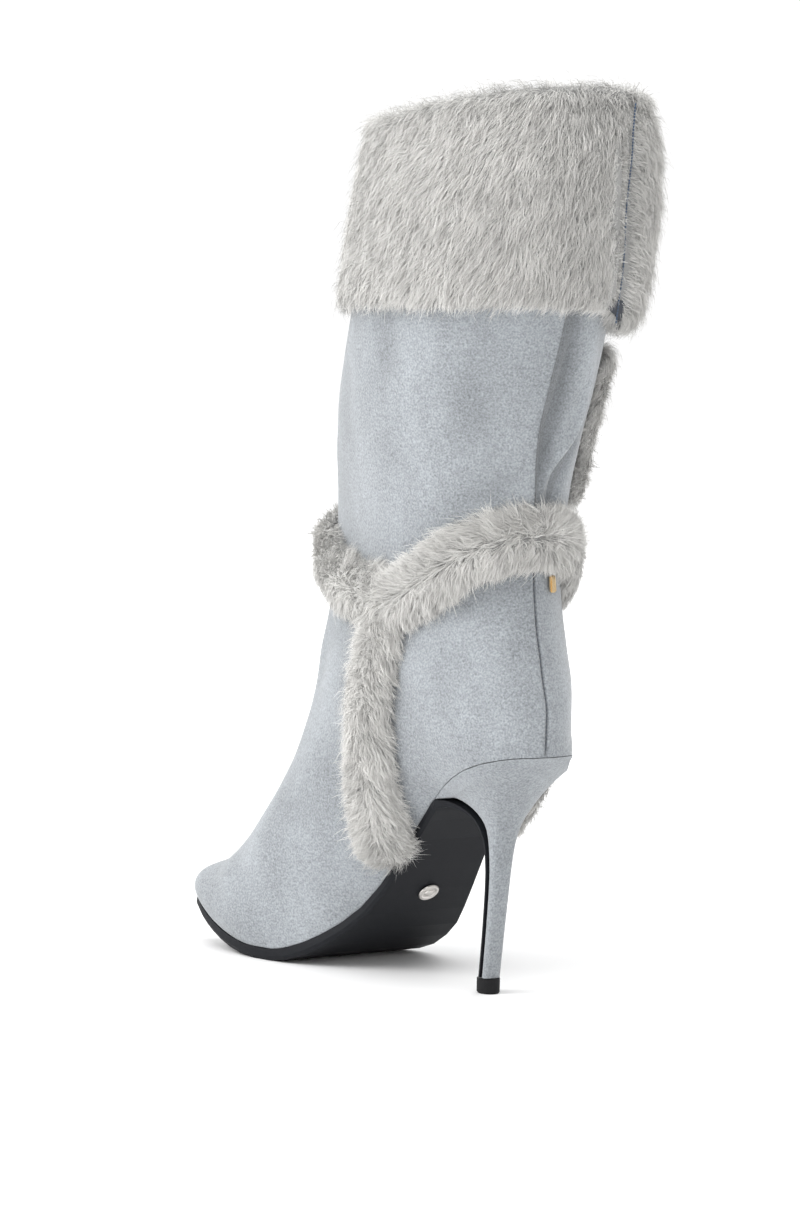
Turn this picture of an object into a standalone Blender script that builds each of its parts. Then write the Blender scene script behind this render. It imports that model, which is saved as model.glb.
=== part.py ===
"""Stiletto ankle-harness boot, right foot, size 37: upper, sole, covered heel, fur cuff and fur strips.

Row frame: origin under the heel tip on the floor, +Z up, toe towards -Y, inner (medial) side towards +X.
Inside the functions a place is (forward, side, height) in millimetres: forward is counted from the
back of the heel seat towards the toe, side is positive towards the inner side of the foot.
"""

import bpy
import bmesh
import numpy as np
from mathutils.bvhtree import BVHTree

# ---- driving dimensions, millimetres -------------------------------------------------------------
FOOT_LENGTH = 208.5       # back of the heel seat to the toe tip, measured level
HEEL_HEIGHT = 100.5       # floor to the feather edge at the back
TIP_FORWARD = 39.0        # heel tip centre, forward of the back of the seat
COLLAR_HEIGHT = 352.0     # top edge of the shaft, inside the cuff
BREAST_STATION = 57.0     # where heel seat ends and the waist of the sole begins
WALL = 2.0                # suede and lining together
SOLE_THICKNESS = 5.0      # forepart
WAIST_THICKNESS = 3.4
TOE_THICKNESS = 3.6
FLAP_THICKNESS = 1.3      # tongue of the sole on the heel breast
INSOLE_THICKNESS = 2.4
GAP = 0.3                 # between pieces that touch
LIFT_HEIGHT = 6.0
FUR_DEPTH = 8.5           # pile of the strips
EDGE_OUT = 0.4            # sole edge outside the feather line
EDGE_ROUND = 1.0          # rounding under the sole's edge
INSOLE_MARGIN = 1.2       # insole to the inner wall
HEEL_TURNS = 24           # points round a ring of the heel
STRIP_ACROSS = 7          # points across a fur strip
STRIP_LIFT = 0.75         # fur strips off the skin
FITTING_SIZE = (7.0, 4.0, 1.4)
FITTING_PLACE = (6.36, 0.958)   # (row, turn)
RIVET_PROFILE = (         # (radius, rise)
    (0.0, 0.0),
    (4.3, 0.0),
    (4.6, 0.35),
    (4.4, 0.8),
    (3.4, 0.9),
    (2.9, 0.55),
    (2.0, 0.5),
    (1.7, 1.0),
    (1.0, 1.25),
    (0.0, 1.3),
)
RIVET_STATION = 95.5
RIVET_SIDE = -5.5
TURNS = 32                # quads round the upper
TOE_END = 1.1             # rows between the end of the inside and the toe tip

# ---- sole: one row for each station --------------------------------------------------------------
# forward, feather height, inner edge, outer edge
SOLE_ROWS = (
    (0.0, HEEL_HEIGHT, 0.0, 0.0),
    (4.0, 100.2, 11.5, -12.0),
    (12.0, 98.6, 18.5, -19.0),
    (26.0, 94.4, 21.8, -24.0),
    (42.0, 87.4, 20.0, -24.8),
    (57.0, 78.2, 16.4, -23.5),
    (72.0, 64.5, 14.4, -23.4),
    (88.0, 45.0, 15.8, -26.5),
    (104.0, 27.4, 19.8, -30.5),
    (118.0, 15.8, 27.5, -33.5),
    (132.0, 8.3, 35.0, -33.0),
    (144.0, 5.3, 39.2, -28.6),
    (154.0, 5.3, 41.6, -21.5),
    (163.0, 6.2, 42.8, -13.4),
    (172.0, 8.0, 43.0, -3.8),
    (184.2, 11.3, 42.3, 8.4),
    (194.1, 14.6, 40.8, 19.0),
    (201.9, 17.3, 38.5, 27.2),
    (FOOT_LENGTH, 19.0, 34.8, 34.8),
)

# ---- upper: closed rows of the shaft, then rows whose ends stand on the feather edge ---------------
# back point (forward, height), front point (forward, height), half width,
# place of the widest point along the row (0 back, 1 front),
# roundness of the back half and of the front half (1 ellipse, less is boxier, more is sharper),
# sideways place of the front point
SHAFT_ROWS = (
    (-22.0, 372.0, 97.0, 359.0, 47.0, 0.50, 0.95, 0.95, 0.0),
    (-12.5, 320.0, 107.5, 310.0, 47.0, 0.50, 0.95, 0.95, 0.0),
    (-3.5, 275.0, 118.0, 271.0, 46.5, 0.50, 0.95, 0.95, 0.0),
    (4.0, 245.0, 123.5, 255.0, 45.5, 0.50, 0.98, 0.95, 0.0),
    (10.0, 222.0, 128.0, 243.5, 43.5, 0.50, 1.02, 0.93, 0.0),
    (13.5, 198.0, 132.0, 233.5, 40.5, 0.50, 1.06, 0.92, 0.0),
    (14.0, 175.0, 136.0, 224.0, 37.0, 0.50, 1.08, 0.92, 0.5),
    (11.5, 153.0, 139.0, 213.5, 34.0, 0.48, 1.05, 0.94, 1.0),
    (6.0, 134.0, 141.0, 203.0, 32.0, 0.46, 1.00, 0.96, 1.5),
    (0.3, 117.0, 142.0, 192.0, 31.5, 0.44, 1.01, 0.99, 2.0),
    (0.0, HEEL_HEIGHT, 142.5, 179.5, 31.5, 0.42, 1.05, 1.02, 2.5),
)
FOOT_ROWS = (
    (10.0, 0.0, 143.0, 166.0, 31.5, 0.42, 1.00, 1.04, 3.0),
    (26.0, 0.0, 144.5, 152.0, 31.5, 0.42, 0.94, 1.06, 4.0),
    (42.0, 0.0, 146.5, 137.5, 31.5, 0.42, 0.92, 1.08, 5.0),
    (57.0, 0.0, 148.0, 121.0, 31.5, 0.42, 0.92, 1.10, 6.0),
    (72.0, 0.0, 150.8, 105.5, 32.0, 0.42, 0.92, 1.12, 8.0),
    (88.0, 0.0, 154.5, 90.5, 33.0, 0.40, 0.92, 1.10, 10.5),
    (104.0, 0.0, 159.8, 76.8, 34.5, 0.38, 0.92, 1.06, 13.5),
    (118.0, 0.0, 166.3, 64.5, 35.0, 0.33, 0.92, 1.02, 16.5),
    (132.0, 0.0, 173.8, 53.0, 34.6, 0.25, 0.92, 1.07, 20.5),
    (146.0, 0.0, 181.8, 43.5, 33.7, 0.16, 0.92, 1.18, 25.5),
    (159.0, 0.0, 190.2, 37.6, 30.0, 0.09, 0.92, 1.30, 28.5),
    (172.0, 0.0, 199.0, 34.0, 23.4, 0.07, 0.92, 1.34, 31.4),
    (184.2, 0.0, 204.4, 31.4, 16.6, 0.07, 0.92, 1.30, 33.2),
    (194.1, 0.0, 207.2, 28.6, 10.6, 0.10, 0.92, 1.20, 34.2),
    (201.9, 0.0, 208.6, 25.0, 5.4, 0.16, 0.92, 1.10, 34.7),
    (FOOT_LENGTH, 0.0, FOOT_LENGTH, 19.0, 0.0, 0.40, 0.92, 1.00, 34.8),
)
SEAT_ROW = len(SHAFT_ROWS) - 1
LAST_ROW = len(SHAFT_ROWS) + len(FOOT_ROWS) - 1

# ---- breast: line of the heel's front face, from the sole's waist back, round and down to the lift ----
# forward, height, half width, sideways centre
BREAST_ROWS = (
    (57.0, 77.7, 19.9, -3.5),
    (53.0, 77.9, 17.2, -3.0),
    (48.5, 76.9, 14.3, -2.4),
    (43.5, 74.6, 11.4, -1.7),
    (39.0, 71.0, 9.0, -1.0),
    (36.6, 66.5, 7.0, -0.3),
    (35.6, 60.0, 5.2, 0.0),
    (35.6, 50.0, 4.4, 0.0),
    (36.8, 34.0, 4.0, 0.0),
    (38.4, 18.0, 3.8, 0.0),
    (39.8, 6.5, 3.7, 0.0),
)

# ---- heel: rows from the lift up to just under the seat --------------------------------------------
# back point, row of the breast line, half width, sideways centre, place of the widest point,
# roundness of the back
HEEL_ROWS = (
    (35.6, 6.5, 10.0, 4.0, 0.0, 0.50, 0.95),
    (34.2, 18.0, 9.0, 4.1, 0.0, 0.50, 0.95),
    (31.9, 34.0, 8.0, 4.3, 0.0, 0.50, 0.95),
    (29.8, 50.0, 7.0, 4.7, 0.0, 0.50, 0.95),
    (28.0, 62.0, 6.0, 5.6, 0.0, 0.50, 0.95),
    (25.2, 71.0, 5.0, 7.1, -0.3, 0.50, 0.95),
    (20.4, 78.5, 4.0, 9.6, -0.7, 0.50, 0.95),
    (14.7, 85.5, 3.0, 12.7, -1.2, 0.49, 0.95),
    (8.8, 92.0, 2.0, 16.2, -1.7, 0.48, 0.94),
    (3.6, 97.0, 1.2, 19.4, -2.0, 0.47, 0.94),
)
HEEL_FRONT_ROUND = 0.42

# ---- fur: centre lines on the upper, as (row, turn) ------------------------------------------------
# turn runs 0 at the back seam or the inner feather edge, 0.25 inner side, 0.5 front, 0.75 outer side, 1 back
BACK_BAND = ((7.85, 0.216), (7.2, 0.182), (6.55, 0.145), (5.95, 0.103), (5.65, 0.065), (5.5, 0.015))
FRONT_BAND = ((8.85, 0.278), (9.35, 0.313), (9.8, 0.362), (10.05, 0.41), (10.15, 0.455), (10.15, 0.5))
SHAFT_STRIP = ((2.42, 0.828), (3.3, 0.828), (4.2, 0.83), (5.35, 0.84))
# as (forward, height) on the side of the foot
INNER_STRIP = ((72.5, 140.0), (76.0, 128.0), (79.5, 109.0), (83.0, 84.0), (84.0, 63.0), (84.5, 54.0))
OUTER_STRIP = (
    (72.5, 140.0), (70.0, 127.0), (66.0, 111.0), (63.5, 96.0),
    (65.5, 84.0), (71.0, 73.5), (75.5, 67.0),
)
BAND_WIDTH = 23.0
SIDE_STRIP_WIDTH = 20.0
SHAFT_STRIP_WIDTH = 17.0

# ---- cuff ------------------------------------------------------------------------------------------
# share of the outline's distance by which the pile stands out, and how much lower its edge hangs
CUFF_SWELL = (
    (0.0, 1.0, 0.0),
    (0.1, 0.85, 0.0),
    (0.25, 0.62, 0.0),
    (0.45, 0.62, 0.0),
    (0.6, 0.8, 0.0),
    (0.72, 1.05, 6.0),
    (0.82, 1.25, 9.0),
    (0.9, 1.3, 9.0),
    (0.95, 1.1, 2.0),
    (1.0, 1.0, 0.0),
)
# its closed outline, as (distance outside the shaft's skin, height)
CUFF_OUTLINE = (
    (0.4, 281.5),
    (4.5, 278.5),
    (9.5, 280.0),
    (12.0, 288.0),
    (12.5, 305.0),
    (12.0, 325.0),
    (10.0, 343.0),
    (6.5, 356.5),
    (1.5, 363.0),
    (-2.5, 363.5),
    (-6.0, 359.0),
    (-7.0, 350.0),
    (-6.5, 336.0),
    (-4.5, 330.0),
    (-2.5, 332.0),
    (-2.5, 352.5),
    (0.5, 352.5),
    (0.5, 336.0),
    (0.5, 320.0),
    (0.5, 300.0),
)


def slopes(x, y):
    """Slopes of a smooth curve through the points that never overshoots a flat or a peak."""
    step = np.diff(x)
    rise = np.diff(y, axis=0) / step[:, None]
    inner = np.zeros_like(y)
    before, after = rise[:-1], rise[1:]
    w1 = (2 * step[1:] + step[:-1])[:, None]
    w2 = (step[1:] + 2 * step[:-1])[:, None]
    same = before * after > 0
    safe_before = np.where(same, before, 1.0)
    safe_after = np.where(same, after, 1.0)
    inner[1:-1] = np.where(same, (w1 + w2) / (w1 / safe_before + w2 / safe_after), 0.0)
    inner[0] = rise[0]
    inner[-1] = rise[-1]
    return inner


def curve(x, y, at):
    """Values at the given places of the smooth curve through (x, y); y has a column for each quantity."""
    x = np.asarray(x, float)
    y = np.asarray(y, float)
    flat = y.ndim == 1
    y = y[:, None] if flat else y
    at = np.asarray(at, float)
    m = slopes(x, y)
    k = np.clip(np.searchsorted(x, at, side="right") - 1, 0, len(x) - 2)
    h = (x[k + 1] - x[k])[..., None]
    t = (at - x[k])[..., None] / h
    value = (
        (2 * t**3 - 3 * t**2 + 1) * y[k]
        + (t**3 - 2 * t**2 + t) * h * m[k]
        + (-2 * t**3 + 3 * t**2) * y[k + 1]
        + (t**3 - t**2) * h * m[k + 1]
    )
    return value[..., 0] if flat else value


def station_angle(forward):
    """Stations spread like a cosine, so that edges that close at the heel and the toe come out round."""
    return np.arccos(np.clip(1 - 2 * np.asarray(forward, float) / FOOT_LENGTH, -1, 1))


def sole_at(forward):
    """(feather height, inner edge, outer edge) at the stations."""
    table = np.array(SOLE_ROWS)
    edges = curve(station_angle(table[:, 0]), table[:, 2:], station_angle(forward))
    height = curve(table[:, 0], table[:, 1], forward)
    return height, edges[..., 0], edges[..., 1]


def upper_table():
    rows = np.array(SHAFT_ROWS + FOOT_ROWS)
    rows[SEAT_ROW:, 1] = sole_at(rows[SEAT_ROW:, 0])[0]
    return rows


TABLE = upper_table()


def section(back, front, width, belly, round_b, round_f, cut, centre_b, front_x, turn):
    """Points of one cut superellipse: turn runs 0 at its inner end, 0.5 at the front, 1 at its outer end.

    back and front are (forward, height) ends of the row, cut is the half width where it starts.
    """
    start = -np.arccos(np.clip((cut / np.maximum(width, 1e-6)) ** (1 / round_b), 0, 1))
    go = 1 - np.abs(2 * turn - 1)
    side = np.where(turn <= 0.5, 1.0, -1.0)
    angle = start + (np.pi / 2 - start) * go
    low = angle < 0
    power = np.where(low, round_b, round_f)
    wide = width * np.clip(np.cos(angle), 0, 1) ** power
    low_scale = belly / np.maximum(-np.sin(start), 1e-6)
    along = np.where(low, belly + low_scale * np.sin(angle), belly + (1 - belly) * np.sin(angle))
    place = back + (front - back) * along[..., None]
    x = centre_b + (front_x - centre_b) * along + side * wide
    return np.stack([place[..., 0], x, place[..., 1]], -1)


def upper_surface(row, turn):
    """Point of the upper's outer skin; row counts down from the collar to the toe."""
    row, turn = np.broadcast_arrays(np.asarray(row, float), np.asarray(turn, float))
    data = curve(np.arange(len(TABLE)), TABLE, row)
    on_sole = row >= SEAT_ROW
    turn = np.where(on_sole, np.clip(turn, 0, 1), turn % 1)
    height, inner, outer = sole_at(np.clip(data[..., 0], 0, FOOT_LENGTH))
    back_z = np.where(on_sole, height, data[..., 1])
    cut = np.where(on_sole, (inner - outer) / 2, 0.0)
    centre = np.where(on_sole, (inner + outer) / 2, 0.0)
    width = np.maximum(data[..., 4], cut * 1.002)
    back = np.stack([data[..., 0], back_z], -1)
    return section(back, data[..., 2:4], width, data[..., 5], data[..., 6], data[..., 7],
                   np.maximum(cut, 0.0), centre, data[..., 8], turn)


def upper_normal(row, turn):
    """Outward unit normal of the skin, from small steps along both of its parameters."""
    step = 2e-3
    row, turn = np.broadcast_arrays(np.asarray(row, float), np.asarray(turn, float))
    row = np.clip(row, step, LAST_ROW - 0.02)
    down = upper_surface(row + step, turn) - upper_surface(row - step, turn)
    around = upper_surface(row, turn + step) - upper_surface(row, turn - step)
    normal = np.cross(around, down)
    return normal / np.maximum(np.linalg.norm(normal, axis=-1, keepdims=True), 1e-9)


def upper_point(row, turn, out=0.0):
    """Point at the distance `out` outside the skin (negative is inside)."""
    out = np.asarray(out, float)[..., None] if np.ndim(out) else out
    return upper_surface(row, turn) + out * upper_normal(row, turn)


def to_world(points):
    """(forward, side, height) in millimetres to metres in the row frame."""
    points = np.asarray(points, float)
    return np.stack([points[..., 1], TIP_FORWARD - points[..., 0], points[..., 2]], -1) * 0.001


# ---- blender --------------------------------------------------------------------------------------
def new_material(name, colour, roughness, metallic=0.0):
    material = bpy.data.materials.new(name)
    material.use_nodes = True
    shader = material.node_tree.nodes["Principled BSDF"]
    shader.inputs["Base Color"].default_value = (*colour, 1.0)
    shader.inputs["Roughness"].default_value = roughness
    shader.inputs["Metallic"].default_value = metallic
    return material


def add_solid(collection, name, points, faces, material, sharp_degrees=40.0):
    """One closed mesh object from points in millimetres; doubles are merged and faces turned outwards."""
    mesh = bpy.data.meshes.new(name)
    mesh.from_pydata([tuple(p) for p in to_world(points)], [], [tuple(map(int, f)) for f in faces])
    work = bmesh.new()
    work.from_mesh(mesh)
    bmesh.ops.remove_doubles(work, verts=work.verts, dist=2e-6)
    bmesh.ops.dissolve_degenerate(work, dist=1e-7, edges=work.edges)
    bmesh.ops.recalc_face_normals(work, faces=work.faces)
    if work.calc_volume(signed=True) < 0:
        bmesh.ops.reverse_faces(work, faces=work.faces)
    work.to_mesh(mesh)
    work.free()
    mesh.shade_smooth()
    mesh.set_sharp_from_angle(angle=np.radians(sharp_degrees))
    mesh.materials.append(material)
    solid = bpy.data.objects.new(name, mesh)
    collection.objects.link(solid)
    return solid


def grid_faces(rows, columns, start=0, around=False):
    """Quads of a grid stored row by row; around closes each row on itself."""
    r, c = np.meshgrid(np.arange(rows - 1), np.arange(columns if around else columns - 1), indexing="ij")
    n = (c + 1) % columns
    quads = np.stack([r * columns + c, r * columns + n, (r + 1) * columns + n, (r + 1) * columns + c], -1)
    return (quads.reshape(-1, 4) + start).tolist()


def upper_rows():
    """Row places, closer together where the seat and the toe turn round."""
    shaft = np.linspace(COLLAR_ROW, SEAT_ROW, 15)
    seat = SEAT_ROW + np.array([0.16, 0.3, 0.48, 0.72, 1.0])
    waist = np.linspace(SEAT_ROW + 1, LAST_ROW - 3, 21)[1:]
    toe = LAST_ROW - np.array([2.4, 1.8, TOE_END, 0.6, 0.25, 0.0])
    return np.concatenate([shaft, seat, waist, toe])


def feather_stations():
    """Stations of the upper's rows that stand on the feather, which sole, heel and insole share."""
    rows = upper_rows()
    return upper_surface(rows[rows > SEAT_ROW - 1e-6], 0.0)[:, 0]


def row_at_height(height):
    """Row of the shaft whose back lies at the height."""
    rows = np.linspace(0, 4, 401)
    return np.interp(-np.asarray(height, float), -upper_surface(rows, np.zeros_like(rows))[:, 2], rows)


COLLAR_ROW = row_at_height(COLLAR_HEIGHT)


def build_upper(collection, material):
    """Outer skin and inner wall on one grid, joined by the collar rim and the two feather rims."""
    rows = upper_rows()
    turns = np.linspace(0, 1, TURNS + 1)
    r, t = np.meshgrid(rows, turns, indexing="ij")
    outer = upper_surface(r, t)
    normal = upper_normal(r, t)
    forward = outer[:, [0, -1], 0]
    slope = (sole_at(forward + 0.05)[0] - sole_at(forward - 0.05)[0]) / 0.1
    floor_up = np.stack([-slope, np.zeros_like(slope), np.ones_like(slope)], -1)
    floor_up /= np.linalg.norm(floor_up, axis=-1, keepdims=True)
    edge = normal[:, [0, -1]]
    edge = edge - (edge * floor_up).sum(-1, keepdims=True) * floor_up
    edge /= np.maximum(np.linalg.norm(edge, axis=-1, keepdims=True), 1e-9)
    on_sole = rows >= SEAT_ROW - 1e-9
    normal[on_sole, 0] = edge[on_sole, 0]
    normal[on_sole, -1] = edge[on_sole, 1]
    closed = rows <= SEAT_ROW + 1e-9
    middle = (normal[closed, 0] + normal[closed, -1]) / 2
    middle /= np.linalg.norm(middle, axis=-1, keepdims=True)
    normal[closed, 0] = normal[closed, -1] = middle
    inner = outer - WALL * normal
    last = int(np.flatnonzero(rows <= LAST_ROW - TOE_END + 1e-9)[-1])
    middle = (inner[last, 0] + inner[last, -1]) / 2
    share = (LAST_ROW - rows[last:, None, None]) / TOE_END
    inner[last:] = middle + share * (inner[last] - middle)
    count = len(rows) * (TURNS + 1)
    points = np.concatenate([outer.reshape(-1, 3), inner.reshape(-1, 3)])
    faces = grid_faces(len(rows), TURNS + 1)
    faces += [f[::-1] for f in grid_faces(len(rows), TURNS + 1, count)]
    for c in range(TURNS):
        faces.append((c, c + count, c + 1 + count, c + 1))
    first = int(np.flatnonzero(on_sole)[0])
    for row in range(first, len(rows) - 1):
        for c in (0, TURNS):
            a = row * (TURNS + 1) + c
            b = a + TURNS + 1
            faces.append((a, b, b + count, a + count))
    return add_solid(collection, "upper", points, faces, material)


def outline(stations, inset):
    """Feather outline moved inwards level by `inset` (outwards if negative): inner and outer edge points."""
    height, inner, outer = sole_at(stations)
    step = 0.02
    ahead = sole_at(np.minimum(stations + step, FOOT_LENGTH))
    behind = sole_at(np.maximum(stations - step, 0.0))
    gap = np.minimum(stations + step, FOOT_LENGTH) - np.maximum(stations - step, 0.0)
    edges = []
    for side, line, a, b in ((1.0, inner, ahead[1], behind[1]), (-1.0, outer, ahead[2], behind[2])):
        lean = (a - b) / gap * side
        size = np.sqrt(1 + lean**2)
        edges.append(np.stack([stations + inset * lean / size, line - side * inset / size], -1))
    return edges[0], edges[1]


def floor_normal(forward):
    """Unit normal of the feather surface, up into the shoe, at the stations."""
    step = 0.05
    low = np.clip(forward - step, 0, FOOT_LENGTH)
    high = np.clip(forward + step, 0, FOOT_LENGTH)
    slope = (sole_at(high)[0] - sole_at(low)[0]) / (high - low)
    up = np.stack([-slope, np.zeros_like(slope), np.ones_like(slope)], -1)
    return up / np.linalg.norm(up, axis=-1, keepdims=True)


def plate(edges, normals, depths):
    """Closed plate between layers: each layer is the pair of edge lines pushed along the normals by a depth.

    edges is a list of (inner line, outer line) for each layer, depths one value or array for each.
    """
    layers = []
    for (near, far), depth in zip(edges, depths):
        depth = np.broadcast_to(depth, len(near))[:, None]
        layers.append((near - depth * normals[0], far - depth * normals[1]))
    ring = [layer[0] for layer in layers] + [layer[1] for layer in reversed(layers)]
    ring = np.stack(ring, 1)
    rows, columns = ring.shape[:2]
    faces = grid_faces(rows, columns, around=True)
    for row, order in ((0, 1), (rows - 1, -1)):
        wide = np.linalg.norm(ring[row, 0] - ring[row, -1]) > 0.01
        if wide:
            faces.append(tuple(row * columns + c for c in range(columns))[::order])
    return ring.reshape(-1, 3), faces


def sole_edges(stations, inset):
    """Edge points of the feather surface in space, moved inwards by `inset`."""
    lines = []
    for edge in outline(stations, inset):
        forward = np.clip(edge[:, 0], 0, FOOT_LENGTH)
        lines.append(np.stack([edge[:, 0], edge[:, 1], sole_at(forward)[0]], -1))
    return lines


def build_insole(collection, material):
    stations = feather_stations()
    stations = stations[stations < FOOT_LENGTH - 4.5]
    near, far = sole_edges(stations, WALL + INSOLE_MARGIN)
    normals = (floor_normal(near[:, 0]), floor_normal(far[:, 0]))
    points, faces = plate([(near, far), (near, far)], normals, (0.0, -INSOLE_THICKNESS))
    return add_solid(collection, "insole", points, faces, material)


def sole_thickness(forward):
    return np.interp(
        forward,
        (90.0, 128.0, 170.0, FOOT_LENGTH),
        (WAIST_THICKNESS, SOLE_THICKNESS, SOLE_THICKNESS, TOE_THICKNESS),
    )


def breast_at(place):
    return curve(np.arange(len(BREAST_ROWS)), np.array(BREAST_ROWS), place)


def build_outsole(collection, material):
    """Forepart and waist under the feather, then the flap that turns down the heel's breast."""
    stations = feather_stations()[::-1]
    stations = np.append(stations[stations > BREAST_STATION + 0.1], BREAST_STATION + 3.5)
    places = np.arange(0, len(BREAST_ROWS) - 0.99, 0.5)
    flap = breast_at(places)
    lines = {}
    for inset in (-EDGE_OUT, EDGE_ROUND - EDGE_OUT):
        near, far = sole_edges(stations, inset)
        slim = flap[:, 2] - inset
        flap_near = np.stack([flap[:, 0], flap[:, 3] + slim, flap[:, 1]], -1)
        flap_far = np.stack([flap[:, 0], flap[:, 3] - slim, flap[:, 1]], -1)
        lines[inset] = (np.concatenate([near, flap_near]), np.concatenate([far, flap_far]))
    ahead, behind = breast_at(places + 0.02), breast_at(np.maximum(places - 0.02, 0))
    run = ahead[:, :2] - behind[:, :2]
    flap_normal = np.stack([run[:, 1], np.zeros(len(run)), -run[:, 0]], -1)
    flap_normal /= np.linalg.norm(flap_normal, axis=1, keepdims=True)
    near, far = lines[-EDGE_OUT]
    count = len(stations)
    normals = (
        np.concatenate([floor_normal(np.clip(near[:count, 0], 0, FOOT_LENGTH)), flap_normal]),
        np.concatenate([floor_normal(np.clip(far[:count, 0], 0, FOOT_LENGTH)), flap_normal]),
    )
    path = np.concatenate([stations, np.full(len(flap), stations[-1])])
    thick = sole_thickness(path)
    thick[count:] = np.interp(places, (0.0, 4.0), (WAIST_THICKNESS, FLAP_THICKNESS))
    outer_lines, inner_lines = lines[-EDGE_OUT], lines[EDGE_ROUND - EDGE_OUT]
    points, faces = plate(
        [outer_lines, outer_lines, inner_lines], normals, (GAP, GAP + 0.65 * thick, GAP + thick)
    )
    points[:, 2] = np.maximum(points[:, 2], 0.0)
    return add_solid(collection, "outsole", points, faces, material)


def seat_ring():
    """Top ring of the heel: round the back of the seat to its straight front edge, inner side first."""
    stations = feather_stations()
    stations = stations[stations < BREAST_STATION + 0.1]
    forward = np.append(stations, np.full(2, BREAST_STATION))
    across = np.append(np.ones(len(stations)), (0.5, 0.0))
    height, inner, outer = sole_at(forward)
    centre, half = (inner + outer) / 2, (inner - outer) / 2
    down = GAP * floor_normal(forward)
    sides = [np.stack([forward, centre + side * half * across, height], -1) - down for side in (1, -1)]
    return np.concatenate([sides[0], sides[1][-2::-1]])


def build_heel(collection, material):
    """Covered heel: rings from the lift up the stem, spreading to the seat; the breast side is flat."""
    table = np.array(HEEL_ROWS)
    rows = np.arange(0, len(table) - 0.49, 0.5)
    data = curve(np.arange(len(table)), table, np.minimum(rows, len(table) - 1))
    turns = np.linspace(0, 1, HEEL_TURNS + 1)
    front = breast_at(data[:, 2])
    r = np.arange(len(rows))[:, None] * np.ones(len(turns), int)
    t = np.broadcast_to(turns, r.shape)
    wide = data[r.astype(int)]
    ends = front[r.astype(int)]
    rings = section(
        wide[..., 0:2], ends[..., 0:2], wide[..., 3], wide[..., 5], wide[..., 6],
        np.full(r.shape, HEEL_FRONT_ROUND), np.zeros(r.shape), wide[..., 4], wide[..., 4], t,
    )
    rings = np.concatenate([rings, seat_ring()[None]])
    columns = HEEL_TURNS + 1
    faces = grid_faces(len(rings), columns)
    faces.append(tuple(range(columns)))
    top = (len(rings) - 1) * columns
    for c in range(HEEL_TURNS // 2 - 1):
        faces.append((top + c, top + c + 1, top + HEEL_TURNS - c - 1, top + HEEL_TURNS - c))
    middle = top + HEEL_TURNS // 2
    faces.append((middle - 1, middle, middle + 1))
    return add_solid(collection, "heel", rings.reshape(-1, 3), faces, material)


def build_top_lift(collection, material):
    """Rubber lift under heel and flap, with a small chamfer round its foot."""
    turns = np.linspace(0, 1, HEEL_TURNS + 1)
    rings = []
    for height, shrink in ((LIFT_HEIGHT + 0.2, 0.0), (0.8, 0.0), (0.0, 0.5)):
        back = np.broadcast_to((34.6 + shrink, height), (len(turns), 2))
        front = np.broadcast_to((43.4 - shrink, height), (len(turns), 2))
        same = np.ones(len(turns))
        rings.append(section(back, front, (4.5 - shrink) * same, 0.55 * same, 0.95 * same,
                             HEEL_FRONT_ROUND * same, 0 * same, 0 * same, 0 * same, turns))
    columns = len(turns)
    faces = grid_faces(3, columns)
    faces.append(tuple(range(columns)))
    faces.append(tuple(2 * columns + c for c in reversed(range(columns))))
    return add_solid(collection, "top_lift", np.concatenate(rings), faces, material)


def build_rivet(collection, material):
    """Turned disc with a raised ring and a dome, seated on the waist of the sole."""
    height = sole_at(RIVET_STATION)[0]
    up = floor_normal(np.array([RIVET_STATION]))[0]
    seat = np.array([RIVET_STATION, RIVET_SIDE, height]) - (2 * GAP + sole_thickness(RIVET_STATION)) * up
    across = np.array([0.0, 1.0, 0.0])
    along = np.cross(across, up)
    work = bmesh.new()
    profile = [work.verts.new((radius, 0, rise)) for radius, rise in RIVET_PROFILE]
    lines = [work.edges.new(pair) for pair in zip(profile, profile[1:])]
    bmesh.ops.spin(work, geom=profile + lines, cent=(0, 0, 0), axis=(0, 0, 1), angle=2 * np.pi, steps=24)
    work.verts.index_update()
    points = [seat + v.co.x * along + v.co.y * across - v.co.z * up for v in work.verts]
    faces = [tuple(v.index for v in f.verts) for f in work.faces]
    work.free()
    return add_solid(collection, "sole_rivet", np.array(points), faces, material)


GRID_ROWS = np.linspace(COLLAR_ROW, LAST_ROW - 1, 331)
GRID_TURNS = np.linspace(0, 1, 181)


def skin_tree():
    """Search tree over a fine mesh of the skin."""
    points = upper_surface(GRID_ROWS[:, None], GRID_TURNS).reshape(-1, 3)
    return BVHTree.FromPolygons(points.tolist(), grid_faces(len(GRID_ROWS), len(GRID_TURNS)))


def on_skin(tree, points):
    """Nearest place of the skin to each point, and the outward normal there."""
    found = [tree.find_nearest(point) for point in points]
    return np.array([f[0] for f in found]), np.array([f[1] for f in found])


def smooth_path(path):
    """Many places of the smooth curve through a short table of places."""
    return curve(np.arange(len(path)), path, np.linspace(0, len(path) - 1, 121))


def side_line(tree, side, path):
    """Centre line of a side strip on the skin; side is 1 for the inner side, -1 for the outer one."""
    places = [(forward, 90.0 * side, height) for forward, height in smooth_path(path)]
    return np.array([tree.ray_cast(place, (0.0, -side, 0.0))[0] for place in places])


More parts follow.
